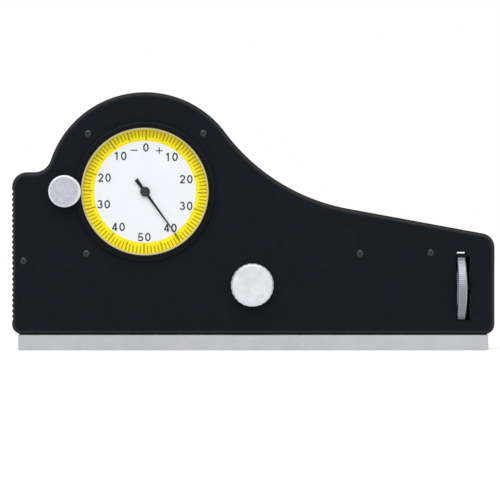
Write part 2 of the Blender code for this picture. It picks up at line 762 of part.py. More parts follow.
def make_rear_screws():
    """Screws in the back: three into the pillars and one into each bracket."""
    low = REAR + RUN
    neck = REAR + REAR_SCREW_HEAD_HEIGHT
    for name, x, z in rear_screw_places():
        in_pillar = name.startswith("movement")
        top = FRONT_PLATE_FORWARD - PLATE_THICKNESS if in_pillar else 0
        profile = [
            (0, top),
            (REAR_SCREW_SHANK, top),
            (REAR_SCREW_SHANK, neck),
            (REAR_SCREW_HEAD, neck),
            (REAR_SCREW_HEAD, low),
            (0, low),
        ]
        place(turned(name, profile, BLACKENED, SMALL_SIDES), (x, 0, z), FORWARD)


def make_bezel():
    """Bezel with its crystal, spacer rim, dial plate and snap ring, all turning together."""
    axis = bpy.data.objects.new("bezel_axis", None)
    PARTS.objects.link(axis)
    place(axis, (DIAL_X, 0, DIAL_Z), FORWARD)
    groove_top = FRONT_INNER - SEAT + RUN
    groove_low = groove_top - SNAP_THICKNESS - 2 * RUN
    groove = BEZEL_HUB - 4 * RUN
    bottom = groove_low - SEAT
    chamfer = 0.35 * BEZEL_FLANGE
    ledge = DIAL_FORWARD - SEAT
    profile = [
        (BEZEL_RADIUS - chamfer, BEZEL_FRONT),
        (BEZEL_RADIUS, BEZEL_FRONT - chamfer),
        (BEZEL_RADIUS, FRONT + SEAT),
        (BEZEL_HUB, FRONT + SEAT),
        (BEZEL_HUB, groove_top),
        (groove, groove_top),
        (groove, groove_low),
        (BEZEL_HUB, groove_low),
        (BEZEL_HUB, bottom),
        (BEZEL_BORE - BEZEL_LEDGE, bottom),
        (BEZEL_BORE - BEZEL_LEDGE, ledge),
        (BEZEL_BORE, ledge),
        (BEZEL_BORE, BEZEL_FRONT - chamfer),
        (BEZEL_BORE + chamfer, BEZEL_FRONT),
    ]
    ring = turned("bezel_ring", profile, BEZEL_BLACK, DIAL_SIDES, ring=True)
    plate_top = DIAL_FORWARD + DIAL_THICKNESS
    plate = cylinder("dial_plate", DIAL_RADIUS, DIAL_FORWARD, plate_top, DIAL_WHITE, DIAL_SIDES)
    hole = cylinder("dial_hole", POINTER_HUB, 0, FRONT, DIAL_WHITE, SMALL_SIDES)
    hole.parent = axis
    cut(plate, hole)
    rim_low = plate_top + RUN
    rim_top = rim_low + RIM_HEIGHT
    rim = turned(
        "dial_rim",
        [
            (DIAL_RADIUS, rim_top),
            (DIAL_RADIUS, rim_low),
            (DIAL_RADIUS - RIM_WALL, rim_low),
            (DIAL_RADIUS - RIM_WALL, rim_top),
        ],
        CREAM,
        DIAL_SIDES,
        ring=True,
    )
    crystal_low = rim_top + RUN
    crystal_top = crystal_low + CRYSTAL_THICKNESS
    bulge = CRYSTAL_THICKNESS / 4
    crystal = turned(
        "crystal",
        [
            (0, crystal_top + bulge),
            (DIAL_RADIUS * 0.5, crystal_top + bulge * 0.75),
            (DIAL_RADIUS * 0.85, crystal_top + bulge * 0.3),
            (DIAL_RADIUS, crystal_top),
            (DIAL_RADIUS, crystal_low),
            (0, crystal_low),
        ],
        CLEAR,
        DIAL_SIDES,
    )
    snap_top = FRONT_INNER - SEAT
    snap_inner = groove + RUN
    snap = turned(
        "bezel_snap_ring",
        [
            (snap_inner + SNAP_WIDTH, snap_top),
            (snap_inner + SNAP_WIDTH, snap_top - SNAP_THICKNESS),
            (snap_inner, snap_top - SNAP_THICKNESS),
            (snap_inner, snap_top),
        ],
        SPRING_STEEL,
        DIAL_SIDES,
        ring=True,
    )
    split = box(
        "snap_split", (-SNAP_SPLIT / 2, 0, 0), (SNAP_SPLIT / 2, 2 * BEZEL_RADIUS, FRONT), STEEL
    )
    split.parent = axis
    cut(snap, split)
    for piece in (ring, plate, rim, crystal, snap):
        piece.parent = axis


def involute(angle):
    """Involute function of a pressure angle."""
    return math.tan(angle) - angle


def gear_outline(module, teeth, phase):
    """Outline of an involute spur gear with a tooth centred on the phase angle."""
    pitch = module * teeth / 2
    base = pitch * math.cos(PRESSURE_ANGLE)
    tip = pitch + 0.95 * module
    root = pitch - 1.25 * module
    half_tooth = (math.pi * module / 2 - BACKLASH) / (2 * pitch)
    flank = [root, base, pitch, tip] if root < base else [root, tip]
    points = []
    for i in range(teeth):
        middle = phase + math.tau * i / teeth
        spread = []
        for radius in flank:
            angle = math.acos(min(1.0, base / radius))
            spread.append(half_tooth + involute(PRESSURE_ANGLE) - involute(angle))
        rising = [(r, middle - s) for r, s in zip(flank, spread)]
        falling = [(r, middle + s) for r, s in zip(reversed(flank), reversed(spread))]
        points += [(r * math.cos(a), r * math.sin(a)) for r, a in rising + falling]
    return points


def meshed_phase(phase, teeth, other_teeth, direction):
    """Phase of a gear that meshes with another one.

    The direction is the angle from the first gear's centre to the second's.
    """
    offset = (direction - phase) * teeth / math.tau
    return direction + math.pi - math.tau * (0.5 - offset) / other_teeth


def make_arbor(name, pinion, pinion_start, tip, x, z):
    """Arbor with its pinion cut on it, from the rear plate to the given height."""
    bar = cylinder(name, ARBOR_RADIUS, REAR_PLATE_FORWARD + RUN, tip, STEEL, SMALL_SIDES)
    teeth = outline_piece(
        name + "_pinion", pinion, pinion_start, pinion_start + PINION_LENGTH, STEEL
    )
    join(bar, place(teeth, (x, 0, z), FORWARD))
    return place(bar, (x, 0, z), FORWARD)


def make_wheel(name, outline, start, pitch, x, z):
    """Brass gear with a bore and round lightening holes."""
    gear = outline_piece(name, outline, start, start + GEAR_THICKNESS, BRASS)
    place(gear, (x, 0, z), FORWARD)
    low = start - GEAR_THICKNESS
    high = start + 2 * GEAR_THICKNESS
    cut(gear, round_cutter(name + "_bore", ARBOR_RADIUS + RUN, low, high, x, z))
    for i in range(5):
        angle = math.tau * i / 5
        hole_x = x + 0.55 * pitch * math.cos(angle)
        hole_z = z + 0.55 * pitch * math.sin(angle)
        cut(gear, round_cutter(f"{name}_hole_{i}", 0.22 * pitch, low, high, hole_x, hole_z))
    return gear


def make_train():
    """Rack arbor, idler arbor and centre arbor with their gears, in mesh at rest."""
    down = -math.pi / 2
    to_idler = math.atan2(IDLER_Z - RACK_ARBOR_Z, IDLER_X - DIAL_X)
    to_centre = math.atan2(DIAL_Z - IDLER_Z, DIAL_X - IDLER_X)
    idler_phase = meshed_phase(0, RACK_GEAR_TEETH, PINION_TEETH, to_idler)
    centre_phase = meshed_phase(0, IDLER_GEAR_TEETH, PINION_TEETH, to_centre)
    plate_front = FRONT_PLATE_FORWARD + PLATE_THICKNESS - RUN
    below = (PINION_LENGTH - GEAR_THICKNESS) / 2
    rack_pinion = gear_outline(RACK_MODULE, PINION_TEETH, down)
    make_arbor(
        "rack_arbor", rack_pinion, LAYER_RACK - 2 * RUN, plate_front, DIAL_X, RACK_ARBOR_Z
    )
    make_wheel(
        "rack_gear",
        gear_outline(TRAIN_MODULE, RACK_GEAR_TEETH, 0),
        LAYER_RACK_GEAR,
        TRAIN_MODULE * RACK_GEAR_TEETH / 2,
        DIAL_X,
        RACK_ARBOR_Z,
    )
    idler_pinion = gear_outline(TRAIN_MODULE, PINION_TEETH, idler_phase)
    make_arbor("idler_arbor", idler_pinion, LAYER_RACK_GEAR - below, plate_front, IDLER_X, IDLER_Z)
    make_wheel(
        "idler_gear",
        gear_outline(TRAIN_MODULE, IDLER_GEAR_TEETH, 0),
        LAYER_TRAIN,
        TRAIN_MODULE * IDLER_GEAR_TEETH / 2,
        IDLER_X,
        IDLER_Z,
    )
    centre_pinion = gear_outline(TRAIN_MODULE, PINION_TEETH, centre_phase)
    hub_top = DIAL_FORWARD + DIAL_THICKNESS + RIM_HEIGHT
    make_arbor("centre_arbor", centre_pinion, LAYER_TRAIN - below, hub_top, DIAL_X, DIAL_Z)


def make_movement_frame():
    """Front and rear plate on three pillars, pierced for the arbors."""
    arbors = ((DIAL_X, DIAL_Z), (IDLER_X, IDLER_Z), (DIAL_X, RACK_ARBOR_Z))
    outline = rounded_rectangle(
        DIAL_X - PLATE_LEFT, DIAL_Z - PLATE_DOWN, DIAL_X + PLATE_RIGHT, DIAL_Z + PLATE_UP, PLATE_CORNER
    )
    for name, low in (
        ("movement_front_plate", FRONT_PLATE_FORWARD),
        ("movement_rear_plate", REAR_PLATE_FORWARD),
    ):
        high = low + PLATE_THICKNESS
        plate = place(outline_piece(name, outline, low, high, BRASS), way=FORWARD)
        for i, (x, z) in enumerate(arbors):
            pivot = ARBOR_RADIUS + RUN
            cut(plate, round_cutter(f"{name}_pivot_{i}", pivot, low - WALL, high + WALL, x, z))
        for i, (x, z) in enumerate(pillar_places()):
            hole = REAR_SCREW_SHANK + RUN
            cut(plate, round_cutter(f"{name}_post_{i}", hole, low - WALL, high + WALL, x, z))
    low = REAR_PLATE_FORWARD + PLATE_THICKNESS + SEAT
    shoulder = FRONT_PLATE_FORWARD - SEAT
    top = FRONT_PLATE_FORWARD + PLATE_THICKNESS
    for i, (x, z) in enumerate(pillar_places()):
        profile = [
            (0, top),
            (REAR_SCREW_SHANK, top),
            (REAR_SCREW_SHANK, shoulder),
            (PILLAR_RADIUS, shoulder),
            (PILLAR_RADIUS, low),
            (0, low),
        ]
        pillar = turned(f"movement_pillar_{i + 1}", profile, BRASS, SMALL_SIDES)
        place(pillar, (x, 0, z), FORWARD)
        bore = REAR_SCREW_SHANK + RUN
        depth = FRONT_PLATE_FORWARD - PLATE_THICKNESS + RUN
        cut(pillar, round_cutter(f"pillar_bore_{i}", bore, low - WALL, depth, x, z))


def make_hairspring():
    """Flat spiral that takes up the backlash, from the arbor to a stud on the plate."""
    inner = ARBOR_RADIUS + HAIRSPRING_WIRE + SEAT
    steps = int(HAIRSPRING_TURNS * SMALL_SIDES)
    growth = (HAIRSPRING_RADIUS - inner) / steps
    turn = math.tau / SMALL_SIDES
    points = [
        ((inner + growth * i) * math.cos(turn * i), (inner + growth * i) * math.sin(turn * i), 0)
        for i in range(steps + 1)
    ]
    points.append((points[-1][0], points[-1][1], FRONT_PLATE_FORWARD - LAYER_RACK_GEAR - SEAT))
    spring = wire("hairspring", points, HAIRSPRING_WIRE, SPRING_STEEL)
    return place(spring, (DIAL_X, -LAYER_RACK_GEAR, DIAL_Z), FORWARD)


def wire(name, points, radius, material):
    """Round wire along a list of points."""
    curve = bpy.data.curves.new(name, "CURVE")
    curve.dimensions = "3D"
    curve.bevel_depth = radius
    curve.bevel_resolution = 0
    curve.use_fill_caps = True
    spline = curve.splines.new("POLY")
    spline.points.add(len(points) - 1)
    for point, place_on_curve in zip(spline.points, points):
        point.co = (*place_on_curve, 1)
    curve.materials.append(material)
    piece = bpy.data.objects.new(name, curve)
    PARTS.objects.link(piece)
    return piece


def make_pointer():
    """Needle with a broad tail on a round hub, bored for the centre arbor."""
    low = DIAL_FORWARD + DIAL_THICKNESS + SEAT
    high = low + POINTER_THICKNESS
    blade = [
        (-POINTER_TAIL_WIDTH / 2, -POINTER_TAIL),
        (POINTER_TAIL_WIDTH / 2, -POINTER_TAIL),
        (POINTER_ROOT / 2, -POINTER_HUB / 2),
        (POINTER_ROOT / 2, 0),
        (POINTER_TIP / 2, POINTER_LENGTH),
        (-POINTER_TIP / 2, POINTER_LENGTH),
        (-POINTER_ROOT / 2, 0),
        (-POINTER_ROOT / 2, -POINTER_HUB / 2),
    ]
    turn = (math.pi / 2, POINTER_CLOCKWISE, 0)
    at = (DIAL_X, 0, DIAL_Z)
    pointer = place(outline_piece("pointer", blade, low, high, POINTER_BLACK), at, turn)
    hub = cylinder("pointer_hub", POINTER_HUB, low - RUN, high + 2 * RUN, POINTER_BLACK)
    bore = cylinder("pointer_bore", ARBOR_RADIUS + RUN, 0, FRONT + WALL, POINTER_BLACK, SMALL_SIDES)
    join(pointer, place(hub, at, FORWARD))
    cut(pointer, place(bore, at, FORWARD))


def rod_bores(owner, low, high):
    """Two bores for the guide rods, for one piece."""
    bores = []
    for side, y in (("front", -ROD_SPREAD), ("rear", ROD_SPREAD)):
        bore = cylinder(f"{owner}_{side}_bore", ROD_RADIUS + RUN, low - WALL, high + WALL, STEEL)
        bores.append(place(bore, (0, y, ROD_HEIGHT), ALONG_X))
    return bores


def block_on_rods(name, low_x, high_x, top, material=STEEL, half=BLOCK_HALF_WIDTH, bottom=BLOCK_BOTTOM):
    """A block with two bores that sits on the guide rods."""
    block = box(name, (low_x, -half, bottom), (high_x, half, top), material, 3 * RUN)
    return cut(block, *rod_bores(name, low_x, high_x))


def make_contact(prefix, x, top):
    """Contact stem with a cone at its foot, and the ball in its cup."""
    ball_centre = BALL_CLEAR + BALL_RADIUS
    foot = ball_centre + BALL_RADIUS + RUN
    profile = [
        (0, top),
        (STEM_RADIUS, top),
        (STEM_RADIUS, foot + STEM_CONE),
        (STEM_NECK, foot),
        (0, foot),
    ]
    place(turned(f"{prefix}_stem", profile, STEEL), (x, 0, 0))
    mesh = bpy.data.meshes.new(f"{prefix}_ball")
    shape = bmesh.new()
    bmesh.ops.create_uvsphere(shape, u_segments=12, v_segments=8, radius=BALL_RADIUS)
    shape.to_mesh(mesh)
    shape.free()
    mesh.shade_smooth()
    place(add_piece(f"{prefix}_ball", mesh, CARBIDE), (x, 0, ball_centre))


def stem_bore(owner, x, top):
    """Bore in the underside of a block that takes a contact stem."""
    bore = cylinder(owner + "_stem_bore", STEM_RADIUS + RUN, 0, top + RUN, STEEL)
    return place(bore, (x, 0, 0))


def make_sensing_slide():
    """Sensing block with the arm that carries the rack up to the movement."""
    low_x = SENSING_X - SENSING_BLOCK_LEFT
    high_x = SENSING_X + SENSING_BLOCK_RIGHT
    slide = block_on_rods("sensing_slide", low_x, high_x, SENSING_BLOCK_TOP)
    rack_bottom = RACK_LINE - RACK_MODULE - RACK_BODY
    back = -LAYER_RACK
    front = back - ARM_THICKNESS
    arm = box(
        "rack_arm",
        (SENSING_X - ARM_HALF_WIDTH, front, SENSING_BLOCK_TOP - WALL),
        (SENSING_X + ARM_HALF_WIDTH, back, rack_bottom - SEAT),
    )
    join(slide, arm)
    stem_top = SENSING_BLOCK_TOP - STEM_COVER
    cut(slide, stem_bore("sensing", SENSING_X, stem_top))
    make_contact("sensing", SENSING_X, stem_top)
    return rack_bottom


def make_rack(bottom):
    """Rack with straight flanks, a space under the middle of its pinion."""
    crest = RACK_LINE + 0.95 * RACK_MODULE
    root = RACK_LINE - 1.25 * RACK_MODULE
    lean = math.tan(PRESSURE_ANGLE)
    half = RACK_PITCH / 4 - BACKLASH / 2
    at_crest = half - (crest - RACK_LINE) * lean
    at_root = half + (RACK_LINE - root) * lean
    first = SENSING_X - RACK_PITCH * (RACK_TEETH / 2 - 1)
    ends = RACK_PITCH * RACK_TEETH / 2 + RACK_PITCH / 2
    points = [(SENSING_X + ends, bottom), (SENSING_X + ends, root)]
    for i in reversed(range(RACK_TEETH - 1)):
        middle = first + RACK_PITCH * i
        points += [(middle + at_root, root), (middle + at_crest, crest)]
        points += [(middle - at_crest, crest), (middle - at_root, root)]
    points += [(SENSING_X - ends, root), (SENSING_X - ends, bottom)]
    rack = outline_piece("rack", points, LAYER_RACK, LAYER_RACK + ARM_THICKNESS, STEEL)
    place(rack, way=FORWARD)


def make_carriage():
    """Adjusting carriage with the nut thread for the lead screw, and its contact."""
    low_x = ADJUST_X - CARRIAGE_LEFT
    high_x = ADJUST_X + CARRIAGE_RIGHT
    carriage = block_on_rods("adjusting_carriage", low_x, high_x, NUT_TOP)
    thread = cylinder(
        "nut_bore", SCREW_RADIUS + RUN, high_x - SCREW_BORE_DEPTH, high_x + WALL, STEEL
    )
    stem_top = WHEEL_HEIGHT - SCREW_RADIUS - STEM_COVER
    cut(
        carriage,
        place(thread, (0, 0, WHEEL_HEIGHT), ALONG_X),
        stem_bore("adjust", ADJUST_X, stem_top),
    )
    make_contact("adjusting", ADJUST_X, stem_top)


def make_guides():
    """Two guide rods in three brackets, and the stop for the sensing slide."""
    spans = bracket_spans()
    bracket_half = FRONT_INNER - SEAT
    bracket_floor = FLOOR + SEAT
    names = ("left_bracket", "right_bracket", "end_bracket")
    for name, (low_x, high_x) in zip(names, spans):
        low = (low_x, -bracket_half, bracket_floor)
        top = SPRING_TOP if name == "left_bracket" else NUT_TOP
        high = (high_x, bracket_half, top)
        bracket = box(name, low, high, STEEL, 3 * RUN)
        if name != "end_bracket":
            cut(bracket, *rod_bores(name, low_x, high_x))
        journal = {"right_bracket": SCREW_RADIUS, "end_bracket": END_JOURNAL}.get(name)
        if journal:
            bore = cylinder(name + "_journal", journal + RUN, low_x - RUN, high_x + RUN, STEEL)
            cut(bracket, place(bore, (0, 0, WHEEL_HEIGHT), ALONG_X))
        x = (low_x + high_x) / 2
        tapped = REAR_SCREW_SHANK + RUN
        cut(bracket, round_cutter(name + "_tapped", tapped, REAR, RUN, x, BRACKET_SCREW_HEIGHT))
    for side, y in (("front", -ROD_SPREAD), ("rear", ROD_SPREAD)):
        start = spans[0][0] + SEAT
        end = spans[1][1] - SEAT
        rod = cylinder(f"guide_rod_{side}", ROD_RADIUS, start, end, STEEL)
        place(rod, (0, y, ROD_HEIGHT), ALONG_X)
    stop_x = SENSING_X + SENSING_BLOCK_RIGHT + SEAT
    block_on_rods("travel_stop", stop_x, stop_x + STOP_LENGTH, STOP_TOP, BRASS)


def make_return_spring():
    """Compression spring on its pin, which pushes the sensing slide onto the stop."""
    bracket_face = bracket_spans()[0][1]
    pin_start = bracket_face - LEFT_BRACKET_LENGTH / 2
    pin_radius = SPRING_RADIUS - 2 * SPRING_WIRE - RUN
    pin = cylinder(
        "spring_pin", pin_radius, pin_start, bracket_face + SPRING_PIN_LENGTH, STEEL
    )
    place(pin, (0, 0, SPRING_HEIGHT), ALONG_X)
    bore = cylinder("spring_pin_bore", pin_radius + RUN, pin_start - RUN, bracket_face + WALL, STEEL)
    cut(bpy.data.objects["left_bracket"], place(bore, (0, 0, SPRING_HEIGHT), ALONG_X))
    start = bracket_face + SEAT + SPRING_WIRE
    end = bracket_face + SPRING_PIN_LENGTH - SEAT
    steps = SPRING_TURNS * SPRING_STEPS
    turn = math.tau / SPRING_STEPS
    points = [
        (
            start + (end - start) * i / steps,
            SPRING_RADIUS * math.cos(turn * i),
            SPRING_RADIUS * math.sin(turn * i),
        )
        for i in range(steps + 1)
    ]
    place(wire("return_spring", points, SPRING_WIRE, SPRING_STEEL), (0, 0, SPRING_HEIGHT))


def make_thumbwheel():
    """Knurled wheel on the lead screw, which runs in the right and end brackets.

    A guard pin crosses the slot above the wheel.
    """
    tooth = math.tau / WHEEL_TEETH
    points = []
    for i in range(WHEEL_TEETH):
        for share, radius in (
            (0.0, WHEEL_RADIUS),
            (0.4, WHEEL_RADIUS),
            (0.7, WHEEL_RADIUS - WHEEL_TOOTH_DEPTH),
        ):
            angle = tooth * (i + share)
            points.append((radius * math.cos(angle), radius * math.sin(angle)))
    wheel = outline_piece("thumbwheel", points, -WHEEL_WIDTH / 2, WHEEL_WIDTH / 2, SATIN)
    at = (WHEEL_X, 0, WHEEL_HEIGHT)
    bore = cylinder("wheel_bore", SCREW_RADIUS + RUN, -WHEEL_WIDTH, WHEEL_WIDTH, STEEL)
    cut(place(wheel, at, ALONG_X), place(bore, at, ALONG_X))
    right = bracket_spans()[1]
    end = bracket_spans()[2]
    tip = ADJUST_X + CARRIAGE_RIGHT - SCREW_BORE_DEPTH + ADJUST_TRAVEL + SCREW_ENTRY
    collar = right[1] + SEAT
    seat_end = WHEEL_X + WHEEL_WIDTH / 2 + SEAT
    profile = [
        (0, end[1] - SEAT - WHEEL_X),
        (END_JOURNAL, end[1] - SEAT - WHEEL_X),
        (END_JOURNAL, seat_end - WHEEL_X),
        (SCREW_RADIUS, seat_end - WHEEL_X),
        (SCREW_RADIUS, collar + SCREW_COLLAR_LENGTH - WHEEL_X),
        (SCREW_COLLAR, collar + SCREW_COLLAR_LENGTH - WHEEL_X),
        (SCREW_COLLAR, collar - WHEEL_X),
        (SCREW_RADIUS, collar - WHEEL_X),
        (SCREW_RADIUS, tip - WHEEL_X),
        (0, tip - WHEEL_X),
    ]
    place(turned("lead_screw", profile, STEEL), at, ALONG_X)
    slot_pin("slot_pin", SLOT_PIN_RADIUS, SLOT_PIN_HOLD, SATIN)


def make_clamp():
    """Carriage clamp: knurled knob and stud in a bush, with a pad against the carriage."""
    at = (CLAMP_X, 0, CLAMP_HEIGHT)
    low = FRONT + SEAT
    top = low + CLAMP_KNOB_HEIGHT
    profile = [
        (0, top),
        (CLAMP_KNOB_RADIUS - CLAMP_KNOB_CHAMFER, top),
        (CLAMP_KNOB_RADIUS, top - CLAMP_KNOB_CHAMFER),
        (CLAMP_KNOB_RADIUS, low + CLAMP_KNOB_CHAMFER / 2),
        (CLAMP_KNOB_RADIUS - CLAMP_KNOB_CHAMFER / 2, low),
        (0, low),
    ]
    knob = place(turned("clamp_knob", profile, SATIN, KNOB_SIDES), at, FORWARD)
    teeth = math.tau / CLAMP_KNURLS
    outer = CLAMP_KNOB_RADIUS + 2 * CLAMP_KNURL_DEPTH
    inner = CLAMP_KNOB_RADIUS - CLAMP_KNURL_DEPTH
    points = []
    for i in range(CLAMP_KNURLS):
        points += arc((0, 0), CLAMP_KNOB_RADIUS + RUN, teeth * i, teeth * (i + 0.5), 1)
        angle = teeth * (i + 0.75)
        points.append((inner * math.cos(angle), inner * math.sin(angle)))
    fluted = outline_piece("knurl_inner", points, low - WALL, top + WALL, SATIN)
    sleeve = cylinder("knurl_sleeve", outer, low - RUN, top - CLAMP_KNOB_CHAMFER / 2, SATIN, KNOB_SIDES)
    cut(place(sleeve, at, FORWARD), place(fluted, at, FORWARD))
    stud_low = FRONT_INNER + CLAMP_PAD_THICKNESS - RUN
    stud_top = stud_low + CLAMP_STUD_LENGTH
    bore = round_cutter(
        "knob_bore", CLAMP_STUD_RADIUS + RUN, low - WALL, stud_top + RUN, CLAMP_X, CLAMP_HEIGHT
    )
    cut(knob, sleeve, bore)
    stud = cylinder("clamp_stud", CLAMP_STUD_RADIUS, stud_low, stud_top, STEEL)
    place(stud, at, FORWARD)
    pad_low = BLOCK_HALF_WIDTH + SEAT
    pad = cylinder(
        "clamp_pad", CLAMP_STUD_RADIUS - RUN, pad_low, pad_low + CLAMP_PAD_THICKNESS, BRASS
    )
    place(pad, at, FORWARD)
    bush_bore = CLAMP_STUD_RADIUS + RUN
    make_bush("clamp_bush", bush_bore, bush_bore + CLAMP_BUSH_WALL, CLAMP_X, CLAMP_HEIGHT)


def make_bush(name, bore, radius, x, z):
    """Brass bush set flush in the front wall."""
    top = FRONT - RUN
    low = FRONT_INNER - 2 * RUN
    profile = [(radius, top), (radius, low), (bore, low), (bore, top)]
    place(turned(name, profile, BRASS, ring=True), (x, 0, z), FORWARD)


def make_bezel_clamp():
    """Flat-headed screw whose head reaches over the bezel and locks it."""
    low = FRONT_INNER
    head = BEZEL_FRONT + SEAT
    top = head + BEZEL_CLAMP_HEIGHT
    profile = [
        (0, top),
        (BEZEL_CLAMP_RADIUS - BEZEL_CLAMP_CHAMFER, top),
        (BEZEL_CLAMP_RADIUS, top - BEZEL_CLAMP_CHAMFER),
        (BEZEL_CLAMP_RADIUS, head),
        (BEZEL_CLAMP_NECK, head),
        (BEZEL_CLAMP_NECK, FRONT + SEAT),
        (BEZEL_CLAMP_STEM, FRONT + SEAT),
        (BEZEL_CLAMP_STEM, low),
        (0, low),
    ]
    knob = turned("bezel_clamp_knob", profile, SATIN, KNOB_SIDES)
    place(knob, (BEZEL_CLAMP_X, 0, DIAL_Z), FORWARD)
    bore = BEZEL_CLAMP_STEM + RUN
    make_bush("bezel_clamp_bush", bore, bore + BUSH_WALL, BEZEL_CLAMP_X, DIAL_Z)


def main():
    """Build every sub-assembly of the gauge."""
    make_front_cover()
    make_rear_cover()
    make_base_shoe()
    make_cover_screws()
    make_shoe_screws()
    make_rear_screws()
    make_bezel()
    make_movement_frame()
    make_train()
    make_hairspring()
    make_pointer()
    make_guides()
    make_rack(make_sensing_slide())
    make_return_spring()
    make_carriage()
    make_thumbwheel()
    make_clamp()
    make_bezel_clamp()


main()
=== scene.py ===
"""Dressed model of a dial thread pitch gauge: finishes, fine surfaces, printed dial and studio.

The gauge stands on its base shoe. +X runs to the thumbwheel end, +Y from the dial to the
back, +Z up. "Forward" is the distance towards the reader, along -Y. Sizes in the classes
are in millimetres and are turned to metres where a surface is made.
"""

import json
import logging
import math
from dataclasses import dataclass, field
from enum import Enum
from typing import Any, Callable

import bmesh
import bpy
import numpy as np
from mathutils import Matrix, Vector

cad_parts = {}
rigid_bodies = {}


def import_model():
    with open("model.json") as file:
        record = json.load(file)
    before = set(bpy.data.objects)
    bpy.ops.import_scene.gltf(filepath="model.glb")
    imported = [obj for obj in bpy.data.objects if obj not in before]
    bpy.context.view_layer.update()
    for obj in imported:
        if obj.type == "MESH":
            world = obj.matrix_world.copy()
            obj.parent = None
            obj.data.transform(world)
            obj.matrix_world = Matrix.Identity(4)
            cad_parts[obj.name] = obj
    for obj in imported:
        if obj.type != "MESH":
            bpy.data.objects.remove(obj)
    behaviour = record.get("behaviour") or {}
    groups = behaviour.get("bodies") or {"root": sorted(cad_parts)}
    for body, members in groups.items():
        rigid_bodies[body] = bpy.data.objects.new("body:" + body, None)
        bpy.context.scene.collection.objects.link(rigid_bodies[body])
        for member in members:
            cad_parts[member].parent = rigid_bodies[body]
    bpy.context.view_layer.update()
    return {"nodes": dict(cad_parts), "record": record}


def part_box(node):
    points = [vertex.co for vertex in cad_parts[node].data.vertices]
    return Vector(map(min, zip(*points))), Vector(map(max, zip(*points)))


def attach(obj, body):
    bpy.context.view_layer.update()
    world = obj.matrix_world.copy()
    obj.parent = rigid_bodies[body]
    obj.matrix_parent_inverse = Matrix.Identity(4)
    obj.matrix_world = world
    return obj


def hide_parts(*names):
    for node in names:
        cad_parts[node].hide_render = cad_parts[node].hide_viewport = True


for leftover in list(bpy.data.objects):
    bpy.data.objects.remove(leftover, do_unlink=True)
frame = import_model()

LOG = logging.getLogger("gauge")
MM = 0.001
TAU = math.tau
MICROMETRE = 1e-6
# Points closer than this, in metres, are one point
WELD = 1e-7
WHITE = (1, 1, 1, 1)
# Forward position just over the front face, from which the bezel and its clamp stand out
OVER_FACE = 8.3
# Each contact's stem, with the room to the left and right of it that its travel needs
STEM_SLOTS = (("sensing_stem", 1.5, 0.3), ("adjusting_stem", 5.3, 5.3))
# Room in front of and behind a stem in its slot
STEM_PLAY = 0.3
# Room round a bush or the head of a screw
PLAY = 0.1
# How far a cutter reaches past the face that it opens
PAST = 1.0
# Steps round a plain ring, and round a knob with flutes or ridges
RING_SIDES = 160
KNOB_SIDES = 480

Shift = Callable[[np.ndarray, np.ndarray, np.ndarray], np.ndarray]
Weigh = Callable[[np.ndarray], np.ndarray]


class Way(Enum):
    """How a shape's own x, y and z lie in the world, as the columns of a turn."""

    UPRIGHT = ((1.0, 0.0, 0.0), (0.0, 1.0, 0.0), (0.0, 0.0, 1.0))
    FORWARD = ((1.0, 0.0, 0.0), (0.0, 0.0, -1.0), (0.0, 1.0, 0.0))
    ALONG_X = ((0.0, 0.0, 1.0), (1.0, 0.0, 0.0), (0.0, 1.0, 0.0))


@dataclass(frozen=True)
class Seat:
    """The place and direction in which a shape is made."""

    x: float = 0.0  # Place along the gauge, in millimetres
    y: float = 0.0  # Place towards the back, in millimetres
    z: float = 0.0  # Height, in millimetres
    way: Way = Way.FORWARD  # How the shape's own directions lie in the world

    def world(self, points: np.ndarray) -> np.ndarray:
        """Turn and move local points in millimetres to world points in metres."""
        return (points @ np.array(self.way.value).T + (self.x, self.y, self.z)) * MM

    def local(self, places: np.ndarray) -> np.ndarray:
        """Turn world points in millimetres back to local ones."""
        return (places - (self.x, self.y, self.z)) @ np.array(self.way.value)

    def off_axis(self, places: np.ndarray) -> np.ndarray:
        """Distance of world points in millimetres from the local z axis."""
        local = self.local(places)
        return np.hypot(local[:, 0], local[:, 1])


@dataclass
class Extent:
    """A CAD node's box in millimetres, with forward counted from the middle plane."""

    left: float
    right: float
    back: float
    front: float
    bottom: float
    top: float

    @classmethod
    def of(cls, node: str) -> "Extent":
        """Read the box of a CAD node at rest."""
        low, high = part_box(node)
        return cls(low.x / MM, high.x / MM, -high.y / MM, -low.y / MM, low.z / MM, high.z / MM)

    @property
    def x(self) -> float:
        """Middle along the gauge."""
        return (self.left + self.right) / 2

    @property
    def z(self) -> float:
        """Middle height."""
        return (self.bottom + self.top) / 2

    @property
    def radius_across(self) -> float:
        """Half of the width from left to right, for an upright round node."""
        return (self.right - self.left) / 2

    @property
    def radius(self) -> float:
        """Half of the height, for a round node seen from the front or the end."""
        return (self.top - self.bottom) / 2

    @property
    def seat(self) -> Seat:
        """Seat on the axis of a node that is round seen from the front."""
        return Seat(self.x, 0, self.z)

    @property
    def across(self) -> Seat:
        """Seat on the axis of a node that is round seen from the end."""
        return Seat(self.x, 0, self.z, Way.ALONG_X)

    @property
    def upright(self) -> Seat:
        """Seat on the axis of a node that is round seen from above."""
        return Seat(self.x, 0, 0, Way.UPRIGHT)


